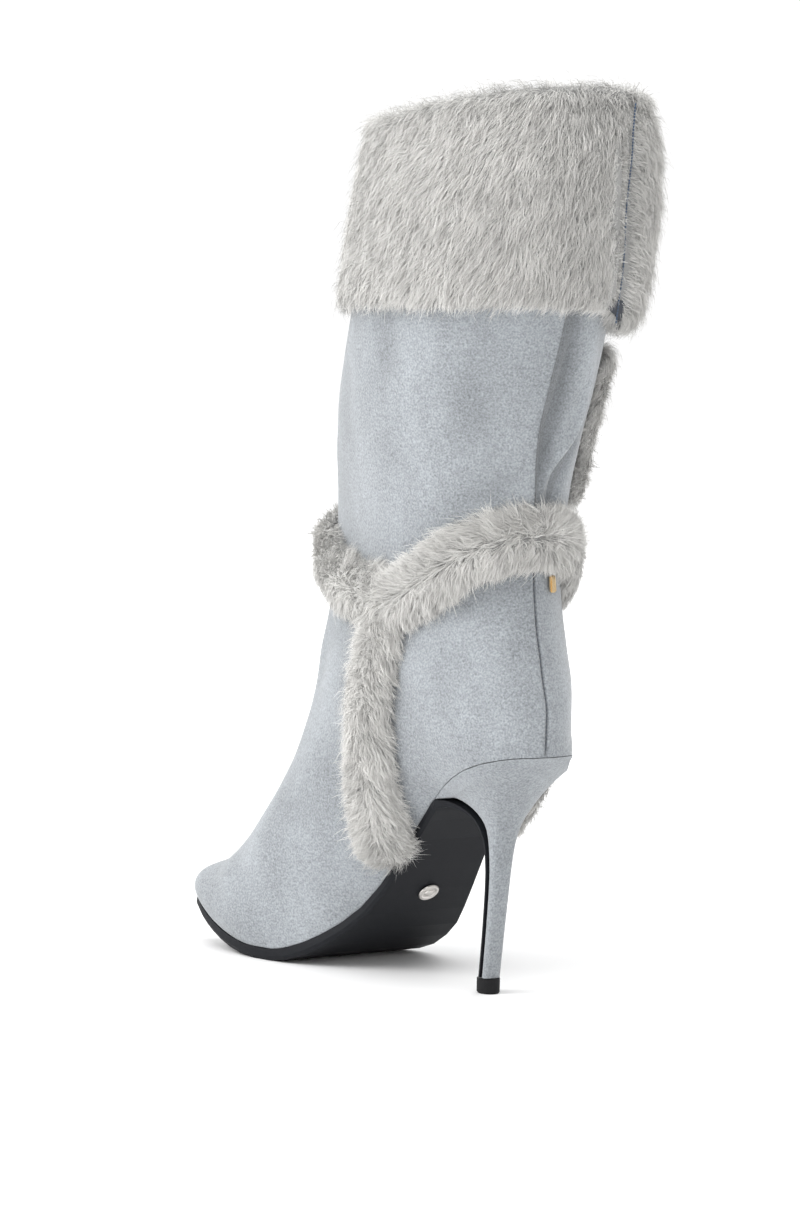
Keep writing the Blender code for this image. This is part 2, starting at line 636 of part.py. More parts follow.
def strip(tree, line, width, depth, count):
    """Closed pile strip along a line of the skin: flat under-side just off the skin, rounded top."""
    gone = np.concatenate([[0], np.cumsum(np.linalg.norm(np.diff(line, axis=0), axis=1))])
    end_steps = (1 - np.cos(np.linspace(0, np.pi, count))) / 2
    spread = 0.35 * end_steps + 0.65 * np.linspace(0, 1, count)
    line = np.stack([np.interp(spread * gone[-1], gone, line[:, k]) for k in range(3)], -1)
    normal = on_skin(tree, line)[1]
    across = np.cross(normal, np.gradient(line, axis=0))
    across /= np.linalg.norm(across, axis=1, keepdims=True)
    from_end = np.minimum(spread, 1 - spread) * gone[-1]
    end = np.sqrt(np.clip(1 - np.clip(1 - from_end / (0.35 * width), 0, 0.93) ** 2, 0, 1))
    reach = np.sin(np.linspace(-1, 1, STRIP_ACROSS) * np.pi / 2)
    high = STRIP_LIFT + 1.0 + (depth - 1.0) * np.sqrt(np.clip(1 - reach**2, 0, 1))
    under = []
    over = []
    for q, top in zip(reach, high):
        skin, normal = on_skin(tree, line + 0.5 * width * q * end[:, None] * across)
        under.append(skin + STRIP_LIFT * normal)
        over.append(skin + (STRIP_LIFT + (top - STRIP_LIFT) * end[:, None]) * normal)
    ring = np.stack(under + over[::-1], 1)
    rows, columns = ring.shape[:2]
    faces = grid_faces(rows, columns, around=True)
    for first, flip in ((0, False), ((rows - 1) * columns, True)):
        for c in range(STRIP_ACROSS - 1):
            quad = (first + c, first + c + 1, first + columns - c - 2, first + columns - c - 1)
            faces.append(quad[::-1] if flip else quad)
    return ring.reshape(-1, 3), faces


def build_cuff(collection, material):
    """Ring carried round the shaft: outside fur, fold over the collar, short return inside."""
    turns = np.linspace(0, 1, TURNS + 1)[:-1]
    swell = np.array(CUFF_SWELL)
    share, hang = curve(swell[:, 0], swell[:, 1:], turns).T
    loops = []
    for out, height in CUFF_OUTLINE:
        low = np.clip((COLLAR_HEIGHT - 20 - height) / 35, 0, 1)
        row = row_at_height(height - low * hang)
        loops.append(upper_point(row, turns, out * share if out > WALL else np.full(TURNS, out)))
    loops.append(loops[0])
    faces = grid_faces(len(loops), TURNS, around=True)
    return add_solid(collection, "fur_cuff", np.concatenate(loops), faces, material)


def build_strips(collection, material):
    """Harness and shaft strips; the bands on the outer side mirror those on the inner one."""
    tree = skin_tree()
    back = BACK_BAND + tuple((row, -turn) for row, turn in reversed(BACK_BAND))
    front = FRONT_BAND + tuple((row, 1 - turn) for row, turn in reversed(FRONT_BAND[:-1]))
    for name, line, width, count in (
        ("band_back", upper_surface(*smooth_path(back).T), BAND_WIDTH, 30),
        ("band_front", upper_surface(*smooth_path(front).T), BAND_WIDTH, 29),
        ("medial_strip", side_line(tree, 1, INNER_STRIP), SIDE_STRIP_WIDTH, 17),
        ("lateral_strip", side_line(tree, -1, OUTER_STRIP), SIDE_STRIP_WIDTH, 17),
        ("shaft_strip", upper_surface(*smooth_path(SHAFT_STRIP).T), SHAFT_STRIP_WIDTH, 12),
    ):
        points, faces = strip(tree, line, width, FUR_DEPTH, count)
        add_solid(collection, name, points, faces, material)


def build_fitting(collection, material):
    """Small rounded metal plate lying on the skin, where the strips meet on the outer side."""
    row, turn = np.array([FITTING_PLACE[0]]), np.array([FITTING_PLACE[1]])
    middle = upper_surface(row, turn)[0]
    normal = upper_normal(row, turn)[0]
    down = np.array([0.0, 0.0, -1.0])
    along = down - (down @ normal) * normal
    along /= np.linalg.norm(along)
    across = np.cross(normal, along)
    work = bmesh.new()
    bmesh.ops.create_cube(work, size=1.0)
    bmesh.ops.scale(work, vec=FITTING_SIZE, verts=work.verts)
    bmesh.ops.bevel(work, geom=work.edges, offset=0.5, segments=2, affect="EDGES")
    base = middle + (STRIP_LIFT + FITTING_SIZE[2] / 2) * normal
    points = [base + v.co.x * along + v.co.y * across + v.co.z * normal for v in work.verts]
    faces = [tuple(v.index for v in f.verts) for f in work.faces]
    work.free()
    add_solid(collection, "strap_fitting", np.array(points), faces, material)


def main():
    for thing in list(bpy.data.objects):
        bpy.data.objects.remove(thing)
    boot = bpy.data.collections.new("stiletto_boot")
    bpy.context.scene.collection.children.link(boot)
    suede = new_material("blue_grey_suede", (0.44, 0.50, 0.56), 0.9)
    fur = new_material("grey_fur", (0.62, 0.62, 0.60), 0.95)
    rubber = new_material("black_sole_rubber", (0.02, 0.022, 0.025), 0.6)
    lift = new_material("black_lift_rubber", (0.012, 0.012, 0.013), 0.7)
    board = new_material("grey_insole_board", (0.35, 0.36, 0.38), 0.85)
    steel = new_material("rivet_steel", (0.62, 0.60, 0.57), 0.3, 1.0)
    gold = new_material("gold_metal", (0.75, 0.58, 0.32), 0.3, 1.0)
    build_upper(boot, suede)
    build_insole(boot, board)
    build_outsole(boot, rubber)
    build_heel(boot, suede)
    build_top_lift(boot, lift)
    build_rivet(boot, steel)
    build_cuff(boot, fur)
    build_strips(boot, fur)
    build_fitting(boot, gold)


main()
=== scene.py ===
import bmesh
import bpy
import numpy as np
from mathutils import Matrix
from mathutils.bvhtree import BVHTree
from mathutils.kdtree import KDTree


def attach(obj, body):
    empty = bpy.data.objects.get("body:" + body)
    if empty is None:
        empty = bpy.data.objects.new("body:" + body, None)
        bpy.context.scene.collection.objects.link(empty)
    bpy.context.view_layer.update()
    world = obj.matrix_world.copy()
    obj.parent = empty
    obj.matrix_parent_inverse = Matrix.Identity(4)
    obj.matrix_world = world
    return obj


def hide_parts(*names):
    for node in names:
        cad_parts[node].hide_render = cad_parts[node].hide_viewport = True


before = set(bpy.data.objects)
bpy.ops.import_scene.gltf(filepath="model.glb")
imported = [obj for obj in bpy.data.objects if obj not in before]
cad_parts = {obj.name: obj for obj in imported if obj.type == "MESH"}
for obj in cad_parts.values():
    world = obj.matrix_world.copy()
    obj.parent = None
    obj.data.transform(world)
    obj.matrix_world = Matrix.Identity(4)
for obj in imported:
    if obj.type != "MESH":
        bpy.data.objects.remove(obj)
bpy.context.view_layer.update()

# Places are (forward, side, height) in millimetres, as in the CAD source.
footLength = 208.5  # level, from the back of the seat to the toe
heelHeight = 100.5  # the seat's back edge above the floor
tipForward = 39.0  # middle of the heel's tip
wall = 2.0
toeEnd = 1.1  # table rows over which the inside closes at the toe
collarHeight = 352.0

# forward, height of the edge, inner edge, outer edge
soleRows = (
    (0, heelHeight, 0, 0), (4, 100.2, 11.5, -12), (12, 98.6, 18.5, -19), (26, 94.4, 21.8, -24),
    (42, 87.4, 20, -24.8), (57, 78.2, 16.4, -23.5), (72, 64.5, 14.4, -23.4), (88, 45, 15.8, -26.5),
    (104, 27.4, 19.8, -30.5), (118, 15.8, 27.5, -33.5), (132, 8.3, 35, -33), (144, 5.3, 39.2, -28.6),
    (154, 5.3, 41.6, -21.5), (163, 6.2, 42.8, -13.4), (172, 8, 43, -3.8), (184.2, 11.3, 42.3, 8.4),
    (194.1, 14.6, 40.8, 19), (201.9, 17.3, 38.5, 27.2), (footLength, 19, 34.8, 34.8),
)

# back forward, back height, front forward, front height, half width, widest place,
# back and front roundness, front side
shaftRows = (
    (-22, 372, 97, 359, 47, 0.50, 0.95, 0.95, 0), (-12.5, 320, 107.5, 310, 47, 0.50, 0.95, 0.95, 0),
    (-3.5, 275, 118, 271, 46.5, 0.50, 0.95, 0.95, 0), (4, 245, 123.5, 255, 45.5, 0.50, 0.98, 0.95, 0),
    (10, 222, 128, 243.5, 43.5, 0.50, 1.02, 0.93, 0), (13.5, 198, 132, 233.5, 40.5, 0.50, 1.06, 0.92, 0),
    (14, 175, 136, 224, 37, 0.50, 1.08, 0.92, 0.5), (11.5, 153, 139, 213.5, 34, 0.48, 1.05, 0.94, 1),
    (6, 134, 141, 203, 32, 0.46, 1.00, 0.96, 1.5), (0.3, 117, 142, 192, 31.5, 0.44, 1.01, 0.99, 2),
    (0, heelHeight, 142.5, 179.5, 31.5, 0.42, 1.05, 1.02, 2.5),
)
footRows = (
    (10, 0, 143, 166, 31.5, 0.42, 1.00, 1.04, 3), (26, 0, 144.5, 152, 31.5, 0.42, 0.94, 1.06, 4),
    (42, 0, 146.5, 137.5, 31.5, 0.42, 0.92, 1.08, 5), (57, 0, 148, 121, 31.5, 0.42, 0.92, 1.10, 6),
    (72, 0, 150.8, 105.5, 32, 0.42, 0.92, 1.12, 8), (88, 0, 154.5, 90.5, 33, 0.40, 0.92, 1.10, 10.5),
    (104, 0, 159.8, 76.8, 34.5, 0.38, 0.92, 1.06, 13.5), (118, 0, 166.3, 64.5, 35, 0.33, 0.92, 1.02, 16.5),
    (132, 0, 173.8, 53, 34.6, 0.25, 0.92, 1.07, 20.5), (146, 0, 181.8, 43.5, 33.7, 0.16, 0.92, 1.18, 25.5),
    (159, 0, 190.2, 37.6, 30, 0.09, 0.92, 1.30, 28.5), (172, 0, 199, 34, 23.4, 0.07, 0.92, 1.34, 31.4),
    (184.2, 0, 204.4, 31.4, 16.6, 0.07, 0.92, 1.30, 33.2),
    (194.1, 0, 207.2, 28.6, 10.6, 0.10, 0.92, 1.20, 34.2),
    (201.9, 0, 208.6, 25, 5.4, 0.16, 0.92, 1.10, 34.7),
    (footLength, 0, footLength, 19, 0, 0.40, 0.92, 1.00, 34.8),
)
seatRow = len(shaftRows) - 1
lastRow = len(shaftRows) + len(footRows) - 1


def slopes(x, y):
    # slope at a knot is the weighted harmonic mean of the slopes on both sides, and 0 at a peak
    step = np.diff(x)
    rise = np.diff(y, axis=0) / step[:, None]
    inner = np.zeros_like(y)
    before, after = rise[:-1], rise[1:]
    w1 = (2 * step[1:] + step[:-1])[:, None]
    w2 = (step[1:] + 2 * step[:-1])[:, None]
    same = before * after > 0
    safeBefore = np.where(same, before, 1.0)
    safeAfter = np.where(same, after, 1.0)
    inner[1:-1] = np.where(same, (w1 + w2) / (w1 / safeBefore + w2 / safeAfter), 0.0)
    inner[0] = rise[0]
    inner[-1] = rise[-1]
    return inner


def curve(x, y, at):
    # cubic pieces through the knots, with the slopes above, so that nothing swings past a knot
    x = np.asarray(x, float)
    y = np.asarray(y, float)
    flat = y.ndim == 1
    y = y[:, None] if flat else y
    at = np.asarray(at, float)
    m = slopes(x, y)
    k = np.clip(np.searchsorted(x, at, side="right") - 1, 0, len(x) - 2)
    h = (x[k + 1] - x[k])[..., None]
    t = (at - x[k])[..., None] / h
    value = (
        (2 * t**3 - 3 * t**2 + 1) * y[k]
        + (t**3 - 2 * t**2 + t) * h * m[k]
        + (-2 * t**3 + 3 * t**2) * y[k + 1]
        + (t**3 - t**2) * h * m[k + 1]
    )
    return value[..., 0] if flat else value


def soleAt(forward):
    # height and both edges of the sole; the edges run over arccos(1 - 2 f / length), which rounds both ends
    angle = lambda f: np.arccos(np.clip(1 - 2 * np.asarray(f, float) / footLength, -1, 1))
    rows = np.array(soleRows)
    edges = curve(angle(rows[:, 0]), rows[:, 2:], angle(forward))
    return curve(rows[:, 0], rows[:, 1], forward), edges[..., 0], edges[..., 1]


upperTable = np.array(shaftRows + footRows, float)
upperTable[seatRow:, 1] = soleAt(upperTable[seatRow:, 0])[0]


def section(back, front, width, belly, roundB, roundF, cut, centreB, frontX, turn):
    # a ring from the back (turn 0) by the inner side to the front (0.5) and home by the outer side:
    # the sine of its angle runs from back to front, and the cosine to the power of the roundness is its
    # half width, so it is widest at the belly; cut is the half width with which it starts on the sole
    start = -np.arccos(np.clip((cut / np.maximum(width, 1e-6)) ** (1 / roundB), 0, 1))
    go = 1 - np.abs(2 * turn - 1)
    side = np.where(turn <= 0.5, 1.0, -1.0)
    angle = start + (np.pi / 2 - start) * go
    low = angle < 0
    wide = width * np.clip(np.cos(angle), 0, 1) ** np.where(low, roundB, roundF)
    lowScale = belly / np.maximum(-np.sin(start), 1e-6)
    along = np.where(low, belly + lowScale * np.sin(angle), belly + (1 - belly) * np.sin(angle))
    place = back + (front - back) * along[..., None]
    x = centreB + (frontX - centreB) * along + side * wide
    return np.stack([place[..., 0], x, place[..., 1]], -1)


def upperSurface(row, turn):
    # the upper's skin: the tables read along the row, then a ring; on the sole it starts at the sole's edges
    row, turn = np.broadcast_arrays(np.asarray(row, float), np.asarray(turn, float))
    data = curve(np.arange(len(upperTable)), upperTable, row)
    onSole = row >= seatRow
    turn = np.where(onSole, np.clip(turn, 0, 1), turn % 1)
    height, inner, outer = soleAt(np.clip(data[..., 0], 0, footLength))
    backZ = np.where(onSole, height, data[..., 1])
    cut = np.where(onSole, (inner - outer) / 2, 0.0)
    centre = np.where(onSole, (inner + outer) / 2, 0.0)
    width = np.maximum(data[..., 4], cut * 1.002)
    back = np.stack([data[..., 0], backZ], -1)
    return section(back, data[..., 2:4], width, data[..., 5], data[..., 6], data[..., 7],
                   np.maximum(cut, 0.0), centre, data[..., 8], turn)


def unit(vectors):
    # each vector over its length
    return vectors / np.maximum(np.linalg.norm(vectors, axis=-1, keepdims=True), 1e-9)


def upperNormal(row, turn):
    # outwards: a small step around crossed with a small step down
    step = 2e-3
    row, turn = np.broadcast_arrays(np.asarray(row, float), np.asarray(turn, float))
    row = np.clip(row, step, lastRow - 0.02)
    down = upperSurface(row + step, turn) - upperSurface(row - step, turn)
    around = upperSurface(row, turn + step) - upperSurface(row, turn - step)
    return unit(np.cross(around, down))


def toWorld(points):
    # millimetres along the foot to metres in the frame
    points = np.asarray(points, float)
    return np.stack([points[..., 1], tipForward - points[..., 0], points[..., 2]], -1) * 0.001


def toFoot(points):
    # metres in the frame to millimetres along the foot
    points = np.asarray(points, float) * 1000
    return np.stack([tipForward - points[..., 1], points[..., 0], points[..., 2]], -1)


def gridFaces(rows, columns, start=0):
    # four-sided faces of a grid whose points are numbered row by row
    r, c = np.meshgrid(np.arange(rows - 1), np.arange(columns - 1), indexing="ij")
    first = r * columns + c
    quads = np.stack([first, first + 1, first + columns + 1, first + columns], -1)
    return quads.reshape(-1, 4) + start


def newMesh(name, points, faces, material):
    # doubles merged, faces outwards, smooth up to the sharp angle
    mesh = bpy.data.meshes.new(name)
    mesh.from_pydata(toWorld(points), [], faces)
    work = bmesh.new()
    work.from_mesh(mesh)
    bmesh.ops.remove_doubles(work, verts=work.verts, dist=2e-6)
    bmesh.ops.dissolve_degenerate(work, dist=1e-7, edges=work.edges)
    bmesh.ops.recalc_face_normals(work, faces=work.faces)
    if work.calc_volume(signed=True) < 0:
        bmesh.ops.reverse_faces(work, faces=work.faces)
    work.to_mesh(mesh)
    work.free()
    mesh.shade_smooth()
    mesh.set_sharp_from_angle(angle=np.radians(48))
    mesh.materials.append(material)
    thing = bpy.data.objects.new(name, mesh)
    bpy.context.collection.objects.link(thing)
    return thing


def softNoise(points, size, seed, channels=1):
    # sum of a few plane waves with random directions; points in millimetres, about -1 to 1
    waves = 7
    rng = np.random.default_rng(seed)
    total = np.zeros((len(points), channels))
    for channel in range(channels):
        for _ in range(waves):
            wave = unit(rng.normal(size=3)) * 2 * np.pi / (size * rng.uniform(0.6, 1.6))
            total[:, channel] += np.sin(points @ wave + rng.uniform(0, 6.3)) / 3.2
    return total


# materials
def link(tree, a, b):
    # from output a to input b
    tree.links.new(a, b)


def makeGroup(name, inputs, outputs):
    # an empty shader group with its sockets
    group = bpy.data.node_groups.new(name, "ShaderNodeTree")
    for label, kind, value in inputs:
        socket = group.interface.new_socket(label, in_out="INPUT", socket_type=kind)
        socket.default_value = value
    for label, kind in outputs:
        group.interface.new_socket(label, in_out="OUTPUT", socket_type=kind)
    return group, group.nodes.new("NodeGroupInput"), group.nodes.new("NodeGroupOutput")


def noiseNode(tree, vector, scale, detail, rough=0.5):
    # soft noise from 0 to 1; scale is in cells to the metre
    node = tree.nodes.new("ShaderNodeTexNoise")
    node.inputs["Scale"].default_value = scale
    node.inputs["Detail"].default_value = detail
    node.inputs["Roughness"].default_value = rough
    link(tree, vector, node.inputs["Vector"])
    return node.outputs["Fac"]


def mathNode(tree, operation, a, b):
    # a and b are numbers or sockets
    node = tree.nodes.new("ShaderNodeMath")
    node.operation = operation
    for socket, value in zip(node.inputs, (a, b)):
        if isinstance(value, (int, float)):
            socket.default_value = value
        else:
            link(tree, value, socket)
    return node.outputs[0]


def napGroup():
    # colour and height of a short brushed nap: wide brushed patches, grain, faint rows
    group, given, result = makeGroup(
        "brushedNap",
        (("Colour", "NodeSocketColor", (0.5, 0.5, 0.5, 1)), ("Patches", "NodeSocketFloat", 0.2),
         ("Grain", "NodeSocketFloat", 0.25)),
        (("Colour", "NodeSocketColor"), ("Height", "NodeSocketFloat")),
    )
    coords = group.nodes.new("ShaderNodeTexCoord").outputs["Object"]
    stretch = group.nodes.new("ShaderNodeMapping")
    stretch.inputs["Scale"].default_value = (1, 1, 0.55)
    link(group, coords, stretch.inputs["Vector"])
    patches = noiseNode(group, stretch.outputs[0], 30, 3, 0.5)
    streaks = noiseNode(group, stretch.outputs[0], 45, 2, 0.5)
    grain = noiseNode(group, coords, 1250, 1, 0.55)
    rows = group.nodes.new("ShaderNodeMapping")
    rows.inputs["Scale"].default_value = (0.22, 0.22, 1)
    link(group, coords, rows.inputs["Vector"])
    ribs = noiseNode(group, rows.outputs[0], 900, 1, 0.5)
    broad = mathNode(group, "MULTIPLY", patches, 1.5)
    wide = mathNode(group, "ADD", broad, mathNode(group, "MULTIPLY", streaks, 0.5))
    wide = mathNode(group, "MULTIPLY", mathNode(group, "SUBTRACT", wide, 1.0), given.outputs["Patches"])
    fine = mathNode(group, "ADD", grain, mathNode(group, "MULTIPLY", ribs, 0.2))
    fine = mathNode(group, "MULTIPLY", mathNode(group, "SUBTRACT", fine, 0.6), given.outputs["Grain"])
    change = mathNode(group, "ADD", mathNode(group, "ADD", wide, fine), 1.0)
    tint = group.nodes.new("ShaderNodeVectorMath")
    tint.operation = "SCALE"
    link(group, given.outputs["Colour"], tint.inputs[0])
    link(group, change, tint.inputs["Scale"])
    link(group, tint.outputs[0], result.inputs["Colour"])
    height = mathNode(group, "ADD", grain, mathNode(group, "MULTIPLY", ribs, 0.2))
    link(group, height, result.inputs["Height"])
    return group


def newMaterial(name, colour, roughness, metallic=0.0, sheen=0.0, specular=0.5):
    # a material of one colour, and its shader node
    material = bpy.data.materials.new(name)
    material.use_nodes = True
    shader = material.node_tree.nodes["Principled BSDF"]
    shader.inputs["Base Color"].default_value = (*colour, 1.0)
    shader.inputs["Roughness"].default_value = roughness
    shader.inputs["Metallic"].default_value = metallic
    shader.inputs["Sheen Weight"].default_value = sheen
    shader.inputs["Specular IOR Level"].default_value = specular
    return material, shader


def bumpFrom(tree, shader, height, strength, distance):
    # leans the shader's normal by a height; distance in metres
    bump = tree.nodes.new("ShaderNodeBump")
    bump.inputs["Strength"].default_value = strength
    bump.inputs["Distance"].default_value = distance
    link(tree, height, bump.inputs["Height"])
    link(tree, bump.outputs["Normal"], shader.inputs["Normal"])


nap = napGroup()


def napMaterial(name, colour, patches, grain, usePaintedShade=False):
    # brushed suede; with the flag set its colour is multiplied by the painted shade stored on the mesh
    material, shader = newMaterial(name, colour, 0.95, sheen=0.35, specular=0.1)
    shader.inputs["Sheen Roughness"].default_value = 0.5
    tree = material.node_tree
    use = tree.nodes.new("ShaderNodeGroup")
    use.node_tree = nap
    use.inputs["Colour"].default_value = (*colour, 1)
    use.inputs["Patches"].default_value = patches
    use.inputs["Grain"].default_value = grain
    out = use.outputs["Colour"]
    if usePaintedShade:
        shade = tree.nodes.new("ShaderNodeAttribute")
        shade.attribute_name = "shade"
        tint = tree.nodes.new("ShaderNodeVectorMath")
        tint.operation = "SCALE"
        link(tree, out, tint.inputs[0])
        link(tree, shade.outputs["Fac"], tint.inputs["Scale"])
        out = tint.outputs[0]
    link(tree, out, shader.inputs["Base Color"])
    bumpFrom(tree, shader, use.outputs["Height"], strength=0.6, distance=0.0005)
    return material


looks = {
    "suede": (0.305, 0.325, 0.345),
    "fur": (0.725, 0.715, 0.69),
    "furShadow": (0.53, 0.525, 0.515),
    "thread": (0.10, 0.115, 0.14),
}
# the upper's suede is multiplied by the painted shade of its mesh
suedeMaterial = napMaterial("blue_grey_suede_nap", looks["suede"], 0.52, 1.2, True)
heelMaterial = napMaterial("heel_suede_nap", looks["suede"], 0.3, 1.1)
soleMaterial, soleShader = newMaterial("black_sole_matt", (0.011, 0.012, 0.015), 0.6, specular=0.2)
liftMaterial, _ = newMaterial("black_lift_matt", (0.007, 0.007, 0.008), 0.6, specular=0.25)
insoleMaterial, _ = newMaterial("grey_insole_board_matt", (0.30, 0.31, 0.33), 0.9)
steelMaterial, _ = newMaterial("rivet_steel_satin", (0.72, 0.69, 0.66), 0.28, 1.0)
goldMaterial, _ = newMaterial("gold_polished", (0.78, 0.58, 0.33), 0.25, 1.0)
threadMaterial, _ = newMaterial("seam_thread", looks["thread"], 0.8)
liningMaterial, _ = newMaterial("cuff_lining_dark", (0.055, 0.06, 0.072), 0.9)
cuffThreadMaterial, _ = newMaterial("cuff_seam_thread", (0.075, 0.11, 0.17), 0.8)
soleTree = soleMaterial.node_tree
soleCoords = soleTree.nodes.new("ShaderNodeTexCoord").outputs["Object"]
soleGrain = noiseNode(soleTree, soleCoords, 1400, 2)
bumpFrom(soleTree, soleShader, soleGrain, strength=0.25, distance=0.0003)


def furMaterial(name, light, rootShadow):
    # darker at a strand's root, as painted shadow deep in the pile, to its colour at the tip, times the
    # strand's tone, which holds random differences and, on the cuff, painted shade on strands facing forward
    material, shader = newMaterial(name, light, 0.8, sheen=0.3, specular=0.15)
    tree = material.node_tree
    along = tree.nodes.new("ShaderNodeAttribute")
    along.attribute_name = "along"
    tone = tree.nodes.new("ShaderNodeAttribute")
    tone.attribute_name = "tone"
    ramp = tree.nodes.new("ShaderNodeMix")
    ramp.data_type = "RGBA"
    ramp.inputs["A"].default_value = (*rootShadow, 1)
    ramp.inputs["B"].default_value = (*light, 1)
    link(tree, along.outputs["Fac"], ramp.inputs["Factor"])
    tint = tree.nodes.new("ShaderNodeVectorMath")
    tint.operation = "SCALE"
    link(tree, ramp.outputs["Result"], tint.inputs[0])
    link(tree, tone.outputs["Fac"], tint.inputs["Scale"])
    link(tree, tint.outputs[0], shader.inputs["Base Color"])
    return material


strandMaterial = furMaterial("grey_fur_strands", looks["fur"], looks["furShadow"])
# the grounds' grey, darker than the strands, is painted shade deep in the pile
groundShadeMaterial, _ = newMaterial("grey_fur_ground_painted_shade", (0.33, 0.33, 0.325), 0.95)
print("materials made")

# the suede upper
# back seam groove, then soft folds as polylines of (row, turn) with half width and height in millimetres
# the seam's shade values are painted shade: in its groove, and over a width beyond its overlapping edge
seam = {
    "turns": ((1.2, 0.002), (2.0, 0.004), (2.9, 0.011), (3.6, 0.015), (4.4, 0.012), (5.2, 0.008),
              (6.2, 0.003), (7.4, 0.003), (8.6, 0.009), (9.86, 0.014)),
    "halfWidth": 0.6, "depth": 0.55, "grooveShade": 0.5,
    "shoulder": 0.2, "shoulderAt": 1.8, "shoulderWidth": 1.1,
    "step": 1.5, "stepEnd": 5.5, "stepFade": 0.5, "slowSide": 4.5, "sharpSide": 0.7,
    "stepShade": 0.4, "shadeWidth": 7.5,
}
seamTurns = np.array(seam["turns"])
seamRows = np.linspace(seamTurns[0, 0], seamTurns[-1, 0], 900)
seamLine = upperSurface(seamRows, curve(seamTurns[:, 0], seamTurns[:, 1], seamRows))
folds = (
    (((2.6, 0.925), (3.10, 0.932), (3.75, 0.940), (4.10, 0.968), (4.45, 0.99), (4.8, 1.002)), 2.5, 3.0),
    (((3.5, 0.905), (4.1, 0.935), (4.6, 0.962), (5.2, 0.972)), 4.2, -3.2),
    (((1.8, 0.982), (2.6, 0.984), (3.3, 0.99), (3.9, 0.994), (4.5, 0.996)), 4.2, -2.8),
    (((1.9, 0.94), (2.5, 0.94), (3.0, 0.945)), 5.0, 1.2),
    (((1.8, 0.025), (2.8, 0.03), (3.8, 0.032), (5.0, 0.026)), 6.5, 0.8),
    (((1.9, 0.10), (3.0, 0.105), (4.2, 0.09), (5.1, 0.08)), 10.0, -0.9),
    (((2.2, 0.17), (3.4, 0.19), (4.8, 0.19)), 11.0, 0.9),
    (((1.8, 0.24), (2.6, 0.235), (3.4, 0.25)), 8.0, -0.8),
    (((4.0, 0.07), (4.5, 0.12), (5.0, 0.17)), 6.0, 0.7),
    (((4.4, 0.03), (4.9, 0.08), (5.3, 0.14)), 4.0, -0.7),
    (((6.2, 0.06), (6.9, 0.11), (7.6, 0.15)), 6.0, -0.8),
    (((6.6, 0.04), (7.5, 0.075), (8.6, 0.11)), 5.0, 0.6),
    (((8.0, 0.13), (9.0, 0.17), (10.2, 0.19)), 8.0, -0.9),
    (((9.0, 0.06), (9.8, 0.09), (11.2, 0.10)), 7.0, 0.6),
    (((9.4, 0.20), (10.6, 0.24), (12.2, 0.25)), 7.0, 0.7),
    (((11.5, 0.30), (13.0, 0.33), (14.5, 0.36)), 7.0, -0.9),
    (((12.5, 0.38), (13.5, 0.36), (14.6, 0.37)), 5.0, 0.7),
    (((15.8, 0.18), (16.6, 0.27), (17.0, 0.38)), 5.5, -0.8),
    (((17.2, 0.14), (18.0, 0.24), (18.3, 0.35)), 5.5, 0.6),
    (((18.6, 0.12), (19.4, 0.22), (19.6, 0.34)), 5.0, -0.7),
    (((3.0, 0.30), (4.0, 0.32), (5.4, 0.31)), 11.0, -0.8),
    (((11.0, 0.5), (12.5, 0.48), (14.0, 0.5)), 6.0, 0.6),
    (((3.2, 0.72), (4.4, 0.70), (5.8, 0.74)), 10.0, -0.9),
    (((6.8, 0.85), (7.6, 0.88), (8.8, 0.90)), 6.0, 0.8),
    (((12.0, 0.70), (13.6, 0.66), (15.0, 0.64)), 7.0, -0.8),
    (((16.0, 0.82), (17.0, 0.73), (17.4, 0.64)), 5.5, 0.7),
)


def rowHeight(height):
    # the table row at which the shaft's back has this height
    rows = np.linspace(0, 4, 401)
    return np.interp(-np.asarray(height, float), -upperSurface(rows, np.zeros_like(rows))[:, 2], rows)


collarRow = float(rowHeight(collarHeight))


def foldHeight(points):
    # each fold is its height times a bell over the distance from its line, and fades at its ends
    total = np.zeros(len(points))
    for path, halfWidth, height in folds:
        path = np.array(path)
        places = curve(np.arange(len(path)), path, np.linspace(0, len(path) - 1, 40))
        line = upperSurface(places[:, 0], places[:, 1])
        near = np.full(len(points), 1e9)
        taper = np.zeros(len(points))
        for k, place in enumerate(line):
            d = ((points - place) ** 2).sum(1)
            closer = d < near
            near[closer] = d[closer]
            taper[closer] = np.sin(np.pi * (k + 0.5) / len(line)) ** 0.7
        total += height * taper * np.exp(-near / (2 * (halfWidth * 0.75) ** 2))
    return total


def spread(count, density):
    # places from 0 to 1 whose spacing follows 1 / density
    fine = np.linspace(0, 1, 20001)
    weight = density((fine[1:] + fine[:-1]) / 2)
    total = np.concatenate([[0], np.cumsum(weight)])
    return np.interp(np.linspace(0, total[-1], count), total, fine)


def upperRows(count):
    # evenly spaced by the mean length gone down the skin; one falls on the seat, one where the toe closes
    fine = np.linspace(collarRow, lastRow, 1201)
    skin = upperSurface(fine[:, None], np.linspace(0, 1, 25))
    gone = np.linalg.norm(np.diff(skin, axis=0), axis=-1).mean(1)
    gone = np.concatenate([[0], np.cumsum(gone + 0.02)])
    rows = np.interp(np.linspace(0, gone[-1], count), gone, fine)
    rows[np.argmin(abs(rows - seatRow))] = seatRow
    rows[np.argmin(abs(rows - (lastRow - toeEnd)))] = lastRow - toeEnd
    return rows


# painted shade and light of the folds: troughs darker, ridges lighter; the inner skin darker
upperMesh = {
    "rows": 236, "columns": 161, "seamTurn": 0.009, "seamZone": 0.05, "seamLastRow": 10.2,
    "edgeHold": 0.04, "toeFade": 1.5, "insideShade": 0.6, "hollowShade": 0.12, "ridgePaintedLight": 0.05,
}


